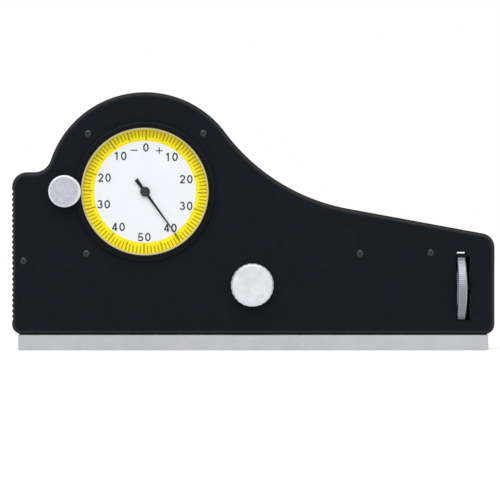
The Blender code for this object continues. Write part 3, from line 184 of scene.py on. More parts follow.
class Shape:
    """Surfaces of one piece, gathered as arrays and then put into one mesh."""

    def __init__(self) -> None:
        """Start with no surface."""
        self.points: list[np.ndarray] = []
        self.loops: list[np.ndarray] = []
        self.totals: list[np.ndarray] = []
        self.count = 0

    def grid(self, points: np.ndarray, around: bool = True) -> "Shape":
        """Add a surface whose point (i, j) joins its neighbours in both directions.

        Args:
            points: Array of rows by columns by three coordinates, in metres.
            around: Whether the last column joins the first.

        Returns:
            This shape.
        """
        rows, columns = points.shape[:2]
        index = np.arange(rows * columns).reshape(rows, columns) + self.count
        after = np.roll(index, -1, axis=1) if around else index[:, 1:]
        before = index if around else index[:, :-1]
        corners = np.stack([before[:-1], after[:-1], after[1:], before[1:]], axis=-1).reshape(-1, 4)
        self.points.append(points.reshape(-1, 3))
        self.loops.append(corners.reshape(-1))
        self.totals.append(np.full(len(corners), 4))
        self.count += rows * columns
        return self

    def ribbon(self, path: np.ndarray, width: float, low: float, high: float, seat: Seat) -> "Shape":
        """Add a flat stroke of even width along a path.

        Each side lies half the width off the path, along the mean direction d of the two
        pieces that meet at a point: side = width / 2 * (-d.y, d.x) / cos(half the bend).

        Args:
            path: Points by two coordinates, in millimetres. A closed path repeats its first.
            width: Width of the stroke.
            low: Local height of its underside.
            high: Local height of its top.
            seat: Where the stroke lies.

        Returns:
            This shape.
        """
        closed = bool(np.allclose(path[0], path[-1]))
        step = np.diff(path, axis=0)
        step = step / np.linalg.norm(step, axis=1, keepdims=True)
        before = np.vstack([step[-1:] if closed else step[:1], step])
        after = np.vstack([step, step[:1] if closed else step[-1:]])
        mean = before + after
        mean = mean / np.linalg.norm(mean, axis=1, keepdims=True)
        reach = width / 2 / np.maximum(np.sum(mean * before, axis=1), 0.5)
        side = np.stack([-mean[:, 1], mean[:, 0]], axis=-1) * reach[:, None]
        edges = ((path + side, low), (path - side, low), (path - side, high), (path + side, high))
        rows = np.stack([np.column_stack([e, np.full(len(e), h)]) for e, h in edges], axis=1)
        rows = seat.world(rows)
        return self.grid(rows) if closed else self.prism(rows)

    def cap(self, loop: np.ndarray) -> "Shape":
        """Close a flat loop with one face that follows the order of its points.

        Args:
            loop: Array of points by three coordinates, in metres.

        Returns:
            This shape.
        """
        self.points.append(loop)
        self.loops.append(np.arange(len(loop)) + self.count)
        self.totals.append(np.array([len(loop)]))
        self.count += len(loop)
        return self

    def prism(self, rows: np.ndarray) -> "Shape":
        """Add a solid whose loops follow each other, closed at both ends."""
        return self.grid(rows).cap(rows[0][::-1]).cap(rows[-1])

    def piece(self, name: str, sharp: float = 32.0) -> bpy.types.Object:
        """Weld the surfaces where they meet and make the object.

        Corners of a face that weld together become one, and a face with fewer than three left
        is dropped. The faces then look outward, and the real edges are crisp.

        Args:
            name: Name of the object and its mesh.
            sharp: Angle in degrees above which an edge stays crisp.

        Returns:
            The object, at the origin.
        """
        points = np.concatenate(self.points)
        keys = np.round(points / WELD).astype(np.int64)
        _, first, index = np.unique(keys, axis=0, return_index=True, return_inverse=True)
        loops = index.reshape(-1)[np.concatenate(self.loops)]
        totals = np.concatenate(self.totals)
        face = np.repeat(np.arange(len(totals)), totals)
        start = np.cumsum(totals) - totals
        following = np.arange(len(loops)) + 1
        last = start + totals - 1
        following[last] = start
        kept = loops != loops[following]
        loops = loops[kept]
        totals = np.bincount(face[kept], minlength=len(totals))
        whole = np.repeat(totals > 2, totals)
        loops = loops[whole]
        totals = totals[totals > 2]
        mesh = bpy.data.meshes.new(name)
        mesh.vertices.add(len(first))
        mesh.vertices.foreach_set("co", points[first].astype(np.float32).reshape(-1))
        mesh.loops.add(len(loops))
        mesh.loops.foreach_set("vertex_index", loops.astype(np.int32))
        mesh.polygons.add(len(totals))
        mesh.polygons.foreach_set("loop_start", (np.cumsum(totals) - totals).astype(np.int32))
        mesh.update(calc_edges=True)
        mesh.validate()
        work = bmesh.new()
        work.from_mesh(mesh)
        bmesh.ops.recalc_face_normals(work, faces=work.faces)
        work.to_mesh(mesh)
        work.free()
        mesh.shade_smooth()
        mesh.set_sharp_from_angle(angle=math.radians(sharp))
        piece = bpy.data.objects.new(name, mesh)
        bpy.context.scene.collection.objects.link(piece)
        return piece


def softened(profile: list[tuple[float, float]], radius: float, steps: int = 4) -> np.ndarray:
    """Round the corners of an open profile.

    Each corner becomes a quadratic curve (1-t)^2 A + 2t(1-t) P + t^2 B from a point A before
    the corner P to a point B after it, with one more point on each side that keeps the flats
    flat in the shading.

    Args:
        profile: Points of the profile.
        radius: Distance from a corner at which its curve starts.
        steps: Pieces of each curve.

    Returns:
        Array of points by two coordinates.
    """
    points = np.array(profile, float)
    corner, before, after = points[1:-1], points[:-2], points[2:]
    run_in = before - corner
    run_out = after - corner
    length_in = np.linalg.norm(run_in, axis=1, keepdims=True)
    length_out = np.linalg.norm(run_out, axis=1, keepdims=True)
    start = corner + run_in / length_in * np.minimum(radius, 0.38 * length_in)
    end = corner + run_out / length_out * np.minimum(radius, 0.38 * length_out)
    guard_in = start + 0.25 * (start - corner)
    guard_out = end + 0.25 * (end - corner)
    t = np.linspace(0, 1, steps + 1).reshape(1, -1, 1)
    curve = (1 - t) ** 2 * start[:, None] + 2 * t * (1 - t) * corner[:, None] + t**2 * end[:, None]
    rounds = np.concatenate([guard_in[:, None], curve, guard_out[:, None]], axis=1)
    return np.concatenate([points[:1], rounds.reshape(-1, 2), points[-1:]])


def turned(
    name: str, profile: np.ndarray, seat: Seat, sides: int = 96, shift: Shift | None = None
) -> bpy.types.Object:
    """Turn a profile about local z: x = r cos a, y = r sin a, z = h.

    Args:
        name: Name of the piece.
        profile: Points of (radius, height) in millimetres.
        seat: Where the piece stands.
        sides: Number of steps round the axis.
        shift: Gives the change of radius for radius, height and angle, such as a knurl's.

    Returns:
        The piece.
    """
    angle = np.linspace(0, TAU, sides, endpoint=False)[None, :]
    radius = np.repeat(profile[:, :1], sides, axis=1)
    height = np.repeat(profile[:, 1:], sides, axis=1)
    if shift:
        radius = radius + shift(radius, height, np.broadcast_to(angle, radius.shape))
    points = np.stack([radius * np.cos(angle), radius * np.sin(angle), height], axis=-1)
    return Shape().grid(seat.world(points)).piece(name)


def mark(piece: bpy.types.Object, weigh: Weigh) -> None:
    """Store where a finish takes its edge colour, as the attribute "rim": painted highlights, painted shade
    on screw heads, and a lighter face on the pointer's hub.

    Args:
        piece: The piece.
        weigh: Gives a value from 0 to 1 for each point, from its world place in millimetres.
    """
    mesh = piece.data
    places = np.zeros(len(mesh.vertices) * 3)
    mesh.vertices.foreach_get("co", places)
    values = np.clip(weigh(places.reshape(-1, 3) / MM), 0, 1)
    rim = mesh.attributes.new("rim", "FLOAT", "POINT")
    rim.data.foreach_set("value", values.astype(np.float32))


def carve(piece: bpy.types.Object, *cutters: bpy.types.Object) -> bpy.types.Object:
    """Cut closed shapes away from a closed piece and remove the cutters.

    Args:
        piece: The piece that is cut.
        cutters: Shapes that take material away.

    Returns:
        The piece, with a new mesh.
    """
    for cutter in cutters:
        step = piece.modifiers.new(cutter.name, "BOOLEAN")
        step.operation = "DIFFERENCE"
        step.solver = "EXACT"
        step.object = cutter
    bpy.context.view_layer.update()
    evaluated = piece.evaluated_get(bpy.context.evaluated_depsgraph_get())
    mesh = bpy.data.meshes.new_from_object(evaluated)
    piece.modifiers.clear()
    piece.data = mesh
    for cutter in cutters:
        bpy.data.objects.remove(cutter, do_unlink=True)
    mesh.shade_smooth()
    mesh.set_sharp_from_angle(angle=math.radians(24))
    return piece


def drill(
    name: str, seat: Seat, radius: float, start: float, end: float, flare: float = 0.0, sides: int = 96
) -> bpy.types.Object:
    """Make the cutter of a round hole, with a chamfer where the hole opens.

    Args:
        name: Name of the cutter.
        seat: Where the hole's axis lies.
        radius: Radius of the hole.
        start: Local height of its inner end.
        end: Local height of the face that it opens in.
        flare: Width of the chamfer.
        sides: Steps round the axis.

    Returns:
        The cutter.
    """
    reach = math.copysign(flare, end - start)
    wide = radius + 2 * flare
    profile = [(0, start), (radius, start), (radius, end - reach), (wide, end + reach), (0, end + reach)]
    return turned(name, np.array(profile), seat, sides)


def block(name: str, low: tuple[float, ...], high: tuple[float, ...]) -> bpy.types.Object:
    """Make a plain box that cuts a slot.

    Args:
        name: Name of the box.
        low: Lowest corner in millimetres.
        high: Highest corner in millimetres.

    Returns:
        The box.
    """
    x = np.array([low[0], high[0], high[0], low[0]])
    y = np.array([low[1], low[1], high[1], high[1]])
    rows = np.stack([np.stack([x, y, np.full(4, z)], axis=-1) for z in (low[2], high[2])]) * MM
    return Shape().prism(rows).piece(name)


def stem_slots(suffix: str, low: float, high: float) -> list[bpy.types.Object]:
    """Make the cutters of the slots in which the two contact stems travel.

    Args:
        suffix: End of the cutters' names.
        low: Height at which the slots start.
        high: Height at which they end.

    Returns:
        The cutters.
    """
    cutters = []
    for stem, before, after in STEM_SLOTS:
        pin = Extent.of(stem)
        half = pin.radius_across + STEM_PLAY
        cutters.append(
            block(stem + suffix, (pin.left - before, -half, low), (pin.right + after, half, high))
        )
    return cutters


def arc(centre: tuple[float, float], radius: float, start: float, end: float, steps: int) -> np.ndarray:
    """Points on an arc from one angle in radians to another: centre + radius (cos a, sin a)."""
    angle = np.linspace(start, end, steps + 1)
    return np.stack([centre[0] + radius * np.cos(angle), centre[1] + radius * np.sin(angle)], axis=-1)


def ramp(value: np.ndarray, start: float, width: float) -> np.ndarray:
    """From 0 at the start to 1 a width further on, and level outside."""
    return np.clip((value - start) / width, 0, 1)


def turned_clockwise(x: np.ndarray | float, y: np.ndarray | float, turn: float) -> np.ndarray:
    """Turn places clockwise about the origin: (x cos t + y sin t, y cos t - x sin t)."""
    cos, sin = math.cos(turn), math.sin(turn)
    return np.stack([x * cos + y * sin, y * cos - x * sin], axis=-1)


def bow(x: float, y: float, wide: float, high: float, start: float, end: float) -> np.ndarray:
    """Points on an elliptic arc, in degrees: (x + wide cos a, y + high sin a)."""
    angle = np.radians(np.linspace(start, end, 25))
    return np.stack([x + wide * np.cos(angle), y + high * np.sin(angle)], axis=-1)


# Centre lines of the figures' strokes, in units of their height
STROKES = {
    "0": [bow(0.32, 0.5, 0.235, 0.425, 90, 450)],
    "1": [np.array([(0.37, 0.0), (0.37, 1.0)]), bow(0.13, 1.0, 0.22, 0.24, -20, -90)],
    "2": [
        np.vstack([bow(0.31, 0.69, 0.22, 0.235, 172, -35), [(0.12, 0.1)]]),
        np.array([(0.05, 0.075), (0.57, 0.075)]),
    ],
    "3": [bow(0.3, 0.725, 0.2, 0.2, 160, -90), bow(0.3, 0.3, 0.235, 0.225, 90, -160)],
    "4": [
        np.array([(0.43, 0.0), (0.43, 1.0)]),
        np.array([(0.41, 0.96), (0.07, 0.29)]),
        np.array([(0.03, 0.275), (0.6, 0.275)]),
    ],
    "5": [
        np.array([(0.13, 0.925), (0.53, 0.925)]),
        np.vstack([[(0.17, 0.925)], bow(0.3, 0.315, 0.24, 0.24, 143, -157)]),
    ],
    "−": [np.array([(0.0, 0.5), (0.78, 0.5)])],
    "+": [np.array([(0.0, 0.5), (0.78, 0.5)]), np.array([(0.39, 0.11), (0.39, 0.89)])],
}


def linear(code: str) -> tuple[float, float, float, float]:
    """Turn an sRGB hex colour to linear light.

    Args:
        code: Colour as "#rrggbb".

    Returns:
        Red, green, blue and a full alpha.
    """
    value = np.array([int(code[i : i + 2], 16) for i in (1, 3, 5)]) / 255
    light = np.where(value <= 0.04045, value / 12.92, ((value + 0.055) / 1.055) ** 2.4)
    return (*light.tolist(), 1.0)


def per_metre(size: float) -> float:
    """Noise scale at which a pattern repeats about every so many millimetres."""
    return 1 / (size * MM)


def new_material(name: str) -> tuple[bpy.types.Material, bpy.types.NodeTree, bpy.types.Node]:
    """Make a material of nodes.

    Args:
        name: Name of the material.

    Returns:
        The material, its node tree and its shader.
    """
    material = bpy.data.materials.new(name)
    material.use_nodes = True
    return material, material.node_tree, material.node_tree.nodes["Principled BSDF"]


def feed(
    tree: bpy.types.NodeTree,
    node: bpy.types.Node,
    values: dict[str | int, Any],
    links: dict[str | int, bpy.types.NodeSocket],
) -> None:
    """Set the values of a node's inputs, and link those that take another node's output.

    Args:
        tree: The node tree.
        node: The node.
        values: Value of each input socket that is set.
        links: Output socket that feeds each linked input.
    """
    for key, value in values.items():
        node.inputs[key].default_value = value
    for key, source in links.items():
        tree.links.new(source, node.inputs[key])


def add_node(
    tree: bpy.types.NodeTree,
    kind: str,
    output: str | int,
    values: dict[str | int, Any] | None = None,
    links: dict[str | int, bpy.types.NodeSocket] | None = None,
    **settings: Any,
) -> bpy.types.NodeSocket:
    """Add a node with its settings, its socket values and its links.

    Args:
        tree: The node tree.
        kind: Blender's name of the node's type.
        output: Which output is wanted.
        values: Value of each input socket that is set.
        links: Output socket that feeds each linked input.
        settings: Properties of the node itself.

    Returns:
        That output socket.
    """
    node = tree.nodes.new(kind)
    for key, value in settings.items():
        setattr(node, key, value)
    feed(tree, node, values or {}, links or {})
    return node.outputs[output]


@dataclass(frozen=True)
class Finish:
    """A finish of the gauge: its colour, how it shines and the pattern that it carries."""

    name: str  # Name of the material
    colour: str  # sRGB colour of the finish
    second: str  # sRGB colour that the first drifts to
    roughness: float  # Roughness of the surface
    spread: float = 0.05  # How far the roughness varies on each side
    metallic: float = 0.0  # 1 for bare metal and 0 for anything else
    specular: float = 0.5  # Specular level of the shader
    drift: float = 4.0  # Size in millimetres of the slow colour patches
    # Size in millimetres of the fine grain along x, y and z
    grain: tuple[float, float, float] = (0.25, 0.25, 0.25)
    relief: float = 6.0  # Height of the grain in micrometres
    edge: str = ""  # sRGB colour that the "rim" attribute mixes in: painted highlights along rims, chamfers and the guard pin, painted shade on screw heads, and a lighter face on the pointer's hub
    alpha: float = 1.0  # How much of the light the finish stops

    def build(self) -> bpy.types.Material:
        """Make the material: colours mixed by slow noise, and fine noise as roughness and relief.

        Returns:
            The material.
        """
        material, tree, shader = new_material(self.name)
        place = add_node(tree, "ShaderNodeTexCoord", "Object")
        slow = {"Scale": per_metre(self.drift), "Detail": 3.0, "Roughness": 0.6}
        patches = add_node(tree, "ShaderNodeTexNoise", "Fac", slow, {"Vector": place})
        colours = {6: linear(self.colour), 7: linear(self.second)}
        shown = add_node(tree, "ShaderNodeMix", 2, colours, {0: patches}, data_type="RGBA")
        scale = {"Scale": tuple(per_metre(size) for size in self.grain)}
        stretch = add_node(tree, "ShaderNodeMapping", "Vector", scale, {"Vector": place})
        fine = {"Scale": 1.0, "Detail": 2.0, "Roughness": 0.5}
        grit = add_node(tree, "ShaderNodeTexNoise", "Fac", fine, {"Vector": stretch})
        span = {3: self.roughness - self.spread, 4: self.roughness + self.spread}
        rough = add_node(tree, "ShaderNodeMapRange", 0, span, {0: grit})
        height = {"Strength": 0.6, "Distance": self.relief * MICROMETRE}
        bump = add_node(tree, "ShaderNodeBump", "Normal", height, {"Height": grit})
        if self.edge:
            rim = add_node(tree, "ShaderNodeAttribute", "Fac", attribute_name="rim")
            worn, mixed = {7: linear(self.edge)}, {0: rim, 6: shown}
            shown = add_node(tree, "ShaderNodeMix", 2, worn, mixed, data_type="RGBA")
        values = {"Metallic": self.metallic, "Specular IOR Level": self.specular, "Alpha": self.alpha}
        feed(tree, shader, values, {"Base Color": shown, "Roughness": rough, "Normal": bump})
        return material


FINISHES = (
    # Anodised aluminium, blasted and dyed black: satin, bluish, with faint patches and a fine grit. Its
    # lighter brownish edge colour is a painted highlight along the rounded rim of the covers
    Finish("black_anodised", "#0b1017", "#121720", 0.46, 0.07, specular=0.06, drift=3.0,
           grain=(0.22, 0.22, 0.22), relief=9.0, edge="#4a4641"),
    # Aluminium anodised black after fine turning: darker and glossier than the covers. Its edge colour is a
    # painted highlight on the bezel's outer chamfer
    Finish("black_bezel", "#090b0e", "#0e1013", 0.32, 0.06, specular=0.07, drift=5.0,
           grain=(0.5, 0.06, 0.5), relief=3.0, edge="#3c3d40"),
    # Steel blackened by hot oxide, grey. Its near-black edge colour is painted shade in the cross recess and
    # round the head's edge, which leaves the crown lighter as a painted highlight
    Finish("blackened_steel", "#343941", "#42474f", 0.34, 0.08, metallic=0.8, drift=0.9,
           grain=(0.12, 0.12, 0.12), relief=5.0, edge="#0a0b0d"),
    # Tool steel ground flat: straight fine lines along the gauge
    Finish("ground_steel", "#b9babd", "#a6a8ab", 0.28, 0.1, metallic=1.0, drift=8.0,
           grain=(6.0, 0.08, 0.08), relief=2.5),
    # Brass blasted, then plated with satin chrome: pale lilac grey with a fine sparkle. Its near-white edge
    # colour is a painted highlight on the bezel clamp's chamfer and over the whole guard pin
    Finish("satin_chrome", "#c6c8d1", "#9496a2", 0.36, 0.1, metallic=1.0, drift=1.1,
           grain=(0.16, 0.16, 0.16), relief=14.0, edge="#f2f4fa"),
    # The same plating over the turned clamp knob: a little smoother, and painted brighter as the brighter
    # reflection of its face. Its edge colour is a painted highlight on the chamfer
    Finish("lit_knob_chrome", "#dedfe4", "#b2b4be", 0.32, 0.08, metallic=1.0, drift=2.6,
           grain=(0.3, 0.3, 0.3), relief=6.0, edge="#cfd2d8"),
    # Steel knurled by rolling, painted greyer as the shade that its dark slot gives. Its edge colour is a
    # painted highlight on the chamfers at both faces
    Finish("shaded_knurl_chrome", "#80838d", "#6f727c", 0.32, 0.08, metallic=1.0, drift=1.3,
           grain=(0.2, 0.2, 0.2), relief=8.0, edge="#a9acb6"),
    # Rolled free-cutting brass: warm, with a drawn grain up the plate
    Finish("brass", "#cda35a", "#bb9049", 0.3, 0.1, metallic=1.0, drift=3.0,
           grain=(0.1, 0.1, 3.0), relief=2.5),
    # Hard-drawn spring steel: smooth and a little blue
    Finish("spring_steel", "#9a9ca6", "#83858f", 0.26, 0.06, metallic=1.0, drift=1.0,
           grain=(0.1, 0.1, 0.6), relief=2.0),
    # Matte enamel sprayed on the dial: white with a cool cast
    Finish("dial_enamel", "#ecf0f7", "#e6eaf2", 0.6, 0.04, specular=0.1, drift=3.5,
           grain=(0.3, 0.3, 0.3), relief=2.0),
    # Moulded spacer of matte cream plastic
    Finish("cream_ring", "#cfc493", "#c5b988", 0.5, 0.05, specular=0.3, drift=2.0,
           grain=(0.3, 0.3, 0.3), relief=3.0),
    # Thin clear acrylic crystal: a faint cool veil and a sharp highlight
    Finish("crystal", "#f4f6ff", "#f0f2fb", 0.04, 0.01, drift=20.0,
           grain=(4.0, 4.0, 4.0), relief=0.5, alpha=0.007),
    # Stamped pointer, painted matte black
    Finish("pointer_black", "#0c0d10", "#131418", 0.5, 0.05, specular=0.1, drift=0.8,
           grain=(0.1, 0.1, 0.1), relief=3.0, edge="#34363b"),
    # Sintered carbide ball, lapped: dark mirror
    Finish("carbide", "#7d7e82", "#737478", 0.12, 0.03, metallic=1.0, drift=0.5,
           grain=(0.06, 0.06, 0.06), relief=0.6),
    # Screen-printed yellow of the scale ring
    Finish("scale_yellow", "#f8ea14", "#f4e210", 0.6, 0.05, specular=0.05, drift=1.2,
           grain=(0.2, 0.2, 0.2), relief=2.0),
    # Screen-printed grey-black of the figures, thin enough to look soft on white
    Finish("figure_ink", "#2f3239", "#3a3d45", 0.6, 0.05, specular=0.05, drift=0.6,
           grain=(0.1, 0.1, 0.1), relief=2.0),
    # Printed brown-black of the graduations, which the yellow shines through
    Finish("scale_ink", "#a88e00", "#b89d00", 0.6, 0.05, specular=0.05, drift=0.6,
           grain=(0.1, 0.1, 0.1), relief=2.0),
)


class Workshop:
    """Keeps the finishes, and dresses, seats and reports each piece."""

    def __init__(self) -> None:
        """Build every finish and give each CAD node the one of its own slot.

        The lead screw is the exception: it takes the darker blackened steel as painted shade, because it
        shows in the thumbwheel's dark slot.
        """
        self.finishes = {finish.name: finish.build() for finish in FINISHES}
        self.slots = {row["slot"] for row in frame["record"]["materials"]}
        for row in frame["record"]["subparts"]:
            node = frame["nodes"][row["node"]]
            # Painted shade: the lead screw in the dark slot takes the darker finish
            dark = node.name == "lead_screw"
            material = self.finishes["blackened_steel" if dark else row["material_slot"]]
            if not node.material_slots:
                node.data.materials.append(material)
            node.material_slots[0].material = material

    def deliver(
        self, piece: bpy.types.Object, body: str, finish: str, node: str = "", slot: str = ""
    ) -> None:
        """Dress a piece, let it ride on its body, hide the CAD node that it stands for and log it.

        Args:
            piece: The piece.
            body: Name of the CAD body that carries it.
            finish: Name of its finish.
            node: CAD node that it stands for.
            slot: The record's material slot, where it isn't the finish's own name. Not used.
        """
        piece.data.materials.clear()
        piece.data.materials.append(self.finishes[finish])
        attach(piece, body)
        if node:
            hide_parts(node)
        LOG.info("%s: %d faces on %s", piece.name, len(piece.data.polygons), body)


@dataclass
class Housing:
    """Front and rear cover: the outline of the gauge with its rounded rim and its openings."""

    shop: Workshop
    wall: float = 2.6  # Thickness of the side walls
    rim: float = 1.6  # Radius of the rounded rim
    sweep: float = 61.5  # Radius of the hollow sweep from the dome into the arm
    slope: float = 10.4  # Slope of the arm in degrees
    arm_end: float = 35.7  # Height of the arm where it meets the right end
    shoulder: float = 55.4  # Height of the flat shoulder on the left
    fillet: float = 5.3  # Radius between shoulder and dome
    corners: tuple[float, float, float] = (4.7, 4.4, 3.0)  # Radii of the left, right and bottom corners
    serration_pitch: float = 1.65  # Distance between grooves in the left edge
    serration_depth: float = 0.55  # Depth of those grooves
    serration_span: tuple[float, float] = (9.0, 50.2)  # Lowest and highest groove edge
    front_wall: float = 2.5  # Thickness of the wall behind the front face
    slot_gap: float = 0.2  # Room between the thumbwheel and its slot, along its radius
    # How far the slot reaches to the left and right of the wheel's middle
    slot_sides: tuple[float, float] = (2.35, 2.2)
    # The same for the small window in which the guard pin shows
    window: tuple[float, float] = (2.07, 0.35)
    chamfer: float = 0.18  # Small chamfer on the edges of the holes
    parting: float = -5.7  # Forward position of the plane in which the covers meet
    edge_break: float = 0.2  # Small chamfer on both covers where they meet
    hub_wall: float = 0.9  # From the dial plate's edge to the bore in which the bezel turns
    front_seat: float = 0.8  # Depth of the counterbores in the front face
    rear_seat: float = 1.1  # Depth of the counterbores in the back
    front: Extent = field(default_factory=lambda: Extent.of("front_cover"))
    rear: Extent = field(default_factory=lambda: Extent.of("rear_cover"))

    def __post_init__(self) -> None:
        """Read the dial's axis and the thumbwheel's from the frame."""
        self.dial = Extent.of("dial_plate")
        self.wheel = Extent.of("thumbwheel")
        self.dome = self.front.top - self.dial.z

    def outline(self, inset: float) -> np.ndarray:
        """Outline of the housing this far inside its outer face, as x and z.

        The dome is an arc about the dial. A tangent hollow arc leads into the straight arm,
        and a small fillet leads to the shoulder. The left edge has many points, so that the
        grooves can be cut into it.

        Args:
            inset: Distance inside the outer face, in millimetres.

        Returns:
            Array of points by two coordinates, anticlockwise from the lower left.
        """
        left, right = self.front.left + inset, self.front.right - inset
        bottom = self.front.bottom + inset
        top = self.shoulder - inset
        dome, sweep, fillet = self.dome - inset, self.sweep + inset, self.fillet + inset
        left_corner, right_corner, low_corner = (max(c - inset, 0.3) for c in self.corners)
        slope = math.radians(self.slope)
        dial = np.array([self.dial.x, self.dial.z])
        along = np.array([math.cos(slope), -math.sin(slope)])
        outward = np.array([math.sin(slope), math.cos(slope)])
        arm = np.array([self.front.right, self.arm_end]) - inset * outward
        foot = arm + sweep * outward - dial
        reach = foot @ along
        back = reach - math.sqrt(reach**2 - foot @ foot + (dome + sweep) ** 2)
        hollow = dial + foot - back * along
        hollow_angle = math.atan2(hollow[1] - dial[1], hollow[0] - dial[0])
        rise = top + fillet - dial[1]
        run = math.sqrt((dome + fillet) ** 2 - rise**2)
        fillet_angle = math.pi - math.atan2(rise, run)
        corner_x = right - right_corner
        drop = right_corner + outward[0] * (corner_x - arm[0])
        corner = (corner_x, arm[1] - drop / outward[1])
        quarter = math.pi / 2
        arm_angle = quarter - slope
        side = np.linspace(top - left_corner, bottom + low_corner, 420)[1:-1]
        return np.concatenate([
            arc((left + low_corner, bottom + low_corner), low_corner, -2 * quarter, -quarter, 6),
            arc((right - low_corner, bottom + low_corner), low_corner, -quarter, 0, 6),
            arc(corner, right_corner, 0, arm_angle, 12),
            arc(hollow, sweep, arm_angle + math.pi, hollow_angle + math.pi, 40),
            arc(dial, dome, hollow_angle, fillet_angle, 90)[1:],
            arc((dial[0] - run, top + fillet), fillet, fillet_angle - math.pi, -quarter, 10)[1:],
            arc((left + left_corner, top - left_corner), left_corner, quarter, 2 * quarter, 10),
            np.stack([np.full(len(side), left), side], axis=-1),
        ])

    def combed(self, rows: np.ndarray) -> np.ndarray:
        """Cut the grooves: x is at least left + depth times a triangle wave of z.

        The wave starts a little below zero, which leaves flats between the grooves.

        Args:
            rows: Points in world millimetres.

        Returns:
            The points, moved in where a groove is.
        """
        low, high = self.serration_span
        phase = (high - rows[..., 2]) / self.serration_pitch % 1.0
        depth = self.serration_depth * (1.3 * (1 - np.abs(2 * phase - 1)) - 0.3)
        grooves = np.where((rows[..., 2] > low) & (rows[..., 2] < high), depth, -1.0)
        combed = rows.copy()
        combed[..., 0] = np.maximum(rows[..., 0], self.front.left + grooves)
        return combed

    def loops(self, outlines: list[tuple[np.ndarray, float]]) -> np.ndarray:
        """Stand each outline upright at its forward position: (x, z), f -> (x, -f, z)."""
        return np.stack([
            np.stack([o[:, 0], np.full(len(o), -f), o[:, 1]], axis=-1) for o, f in outlines
        ])

    def shell(self, name: str, back: float, face: float) -> bpy.types.Object:
        """Sweep the rim's profile round the outline, from the parting plane to the face.

        Args:
            name: Name of the piece.
            back: Forward position of the parting plane.
            face: Forward position of the flat face with the rounded rim.

        Returns:
            The closed solid, grooves included.
        """
        toward = math.copysign(1.0, face - back)
        turn = np.linspace(0, math.pi / 2, 9)
        inset = self.rim * (1 - np.cos(turn))
        depth = face - toward * self.rim * (1 - np.sin(turn))
        guard = 0.15
        rows = [(self.edge_break, back), (0.0, back + toward * self.edge_break)]
        rows += [(0.0, depth[0] - toward * guard)]
        rows += list(zip(inset, depth)) + [(self.rim + guard, face)]
        grid = self.combed(self.loops([(self.outline(i), f) for i, f in rows])) * MM
        return Shape().grid(grid).cap(grid[-1]).cap(grid[0][::-1]).piece(name)

    def wheel_cutter(self, name: str) -> bpy.types.Object:
        """Disc that saws the thumbwheel's slot through a cover."""
        left, right = self.slot_sides
        return drill(name, self.wheel.across, self.wheel.radius + self.slot_gap, right, -left, sides=128)

    def deliver(self, cover: bpy.types.Object, face: float, node: str) -> None:
        """Paint a lighter line halfway round the rounded rim as a highlight, and deliver the cover.

        Args:
            cover: The cover.
            face: Forward position of its flat face.
            node: CAD node that it stands for.
        """

        def weigh(places: np.ndarray) -> np.ndarray:
            """Painted highlight: up to 0.55 along a line a fifth of the rim behind the face."""
            rise = np.abs(face + places[:, 1]) / self.rim
            return 0.55 * np.clip(1 - np.abs(rise - 0.2) / 0.2, 0, 1)

        mark(cover, weigh)
        self.shop.deliver(cover, "housing", "black_anodised", node)

    def build_front(self) -> None:
        """Front cover with its openings, hollow behind the face."""
        face, back = self.front.front, self.parting + 0.01
        cover = self.shell("front_shell", back, face)
        inner = self.outline(self.wall)
        hollow_rows = self.loops([(inner, back - PAST), (inner, face - self.front_wall)]) * MM
        inside = face - self.front_wall - 0.5
        clamp, lock = Extent.of("clamp_bush"), Extent.of("bezel_clamp_bush")
        pin = Extent.of("slot_pin")
        left, right = self.window
        low, floor = pin.bottom - 0.02, self.front.bottom
        hub = self.dial.radius + self.hub_wall
        cutters = [
            Shape().prism(hollow_rows).piece("hollow"),
            drill("dial_bore", Extent.of("bezel_ring").seat, hub, inside, face, self.chamfer),
            drill("clamp_bore", clamp.seat, clamp.radius + PLAY, inside, face, self.chamfer),
            drill("lock_bore", lock.seat, lock.radius + PLAY, inside, face, self.chamfer),
            self.wheel_cutter("front_slot"),
            block(
                "slot_window", (self.wheel.x - left, -face - PAST, low),
                (self.wheel.x + right, -inside, pin.top + 0.1),
            ),
        ]
        for i in range(6):
            screw = Extent.of(f"cover_screw_{i + 1}")
            radius, start = screw.radius + PLAY, face - self.front_seat
            cutters.append(drill(f"counterbore_{i}", screw.seat, radius, start, face, self.chamfer))
        cutters += stem_slots("_slot", floor - PAST, floor + self.wall + PAST)
        self.deliver(carve(cover, *cutters), face, "front_cover")

    def build_rear(self) -> None:
        """Rear cover with the counterbores of its screws and the thumbwheel's slot."""
        face = self.rear.back
        cover = self.shell("rear_shell", self.parting, face)
        cutters = [self.wheel_cutter("rear_slot")]
        for i in range(3):
            for kind in ("movement_screw", "bracket_screw"):
                screw = Extent.of(f"{kind}_{i + 1}")
                radius, start = screw.radius + PLAY, face + self.rear_seat
                cutters.append(drill(f"{kind}_{i}_bore", screw.seat, radius, start, face, self.chamfer))
        self.deliver(carve(cover, *cutters), face, "rear_cover")

    def build(self) -> None:
        """Both covers."""
        self.build_front()
        self.build_rear()


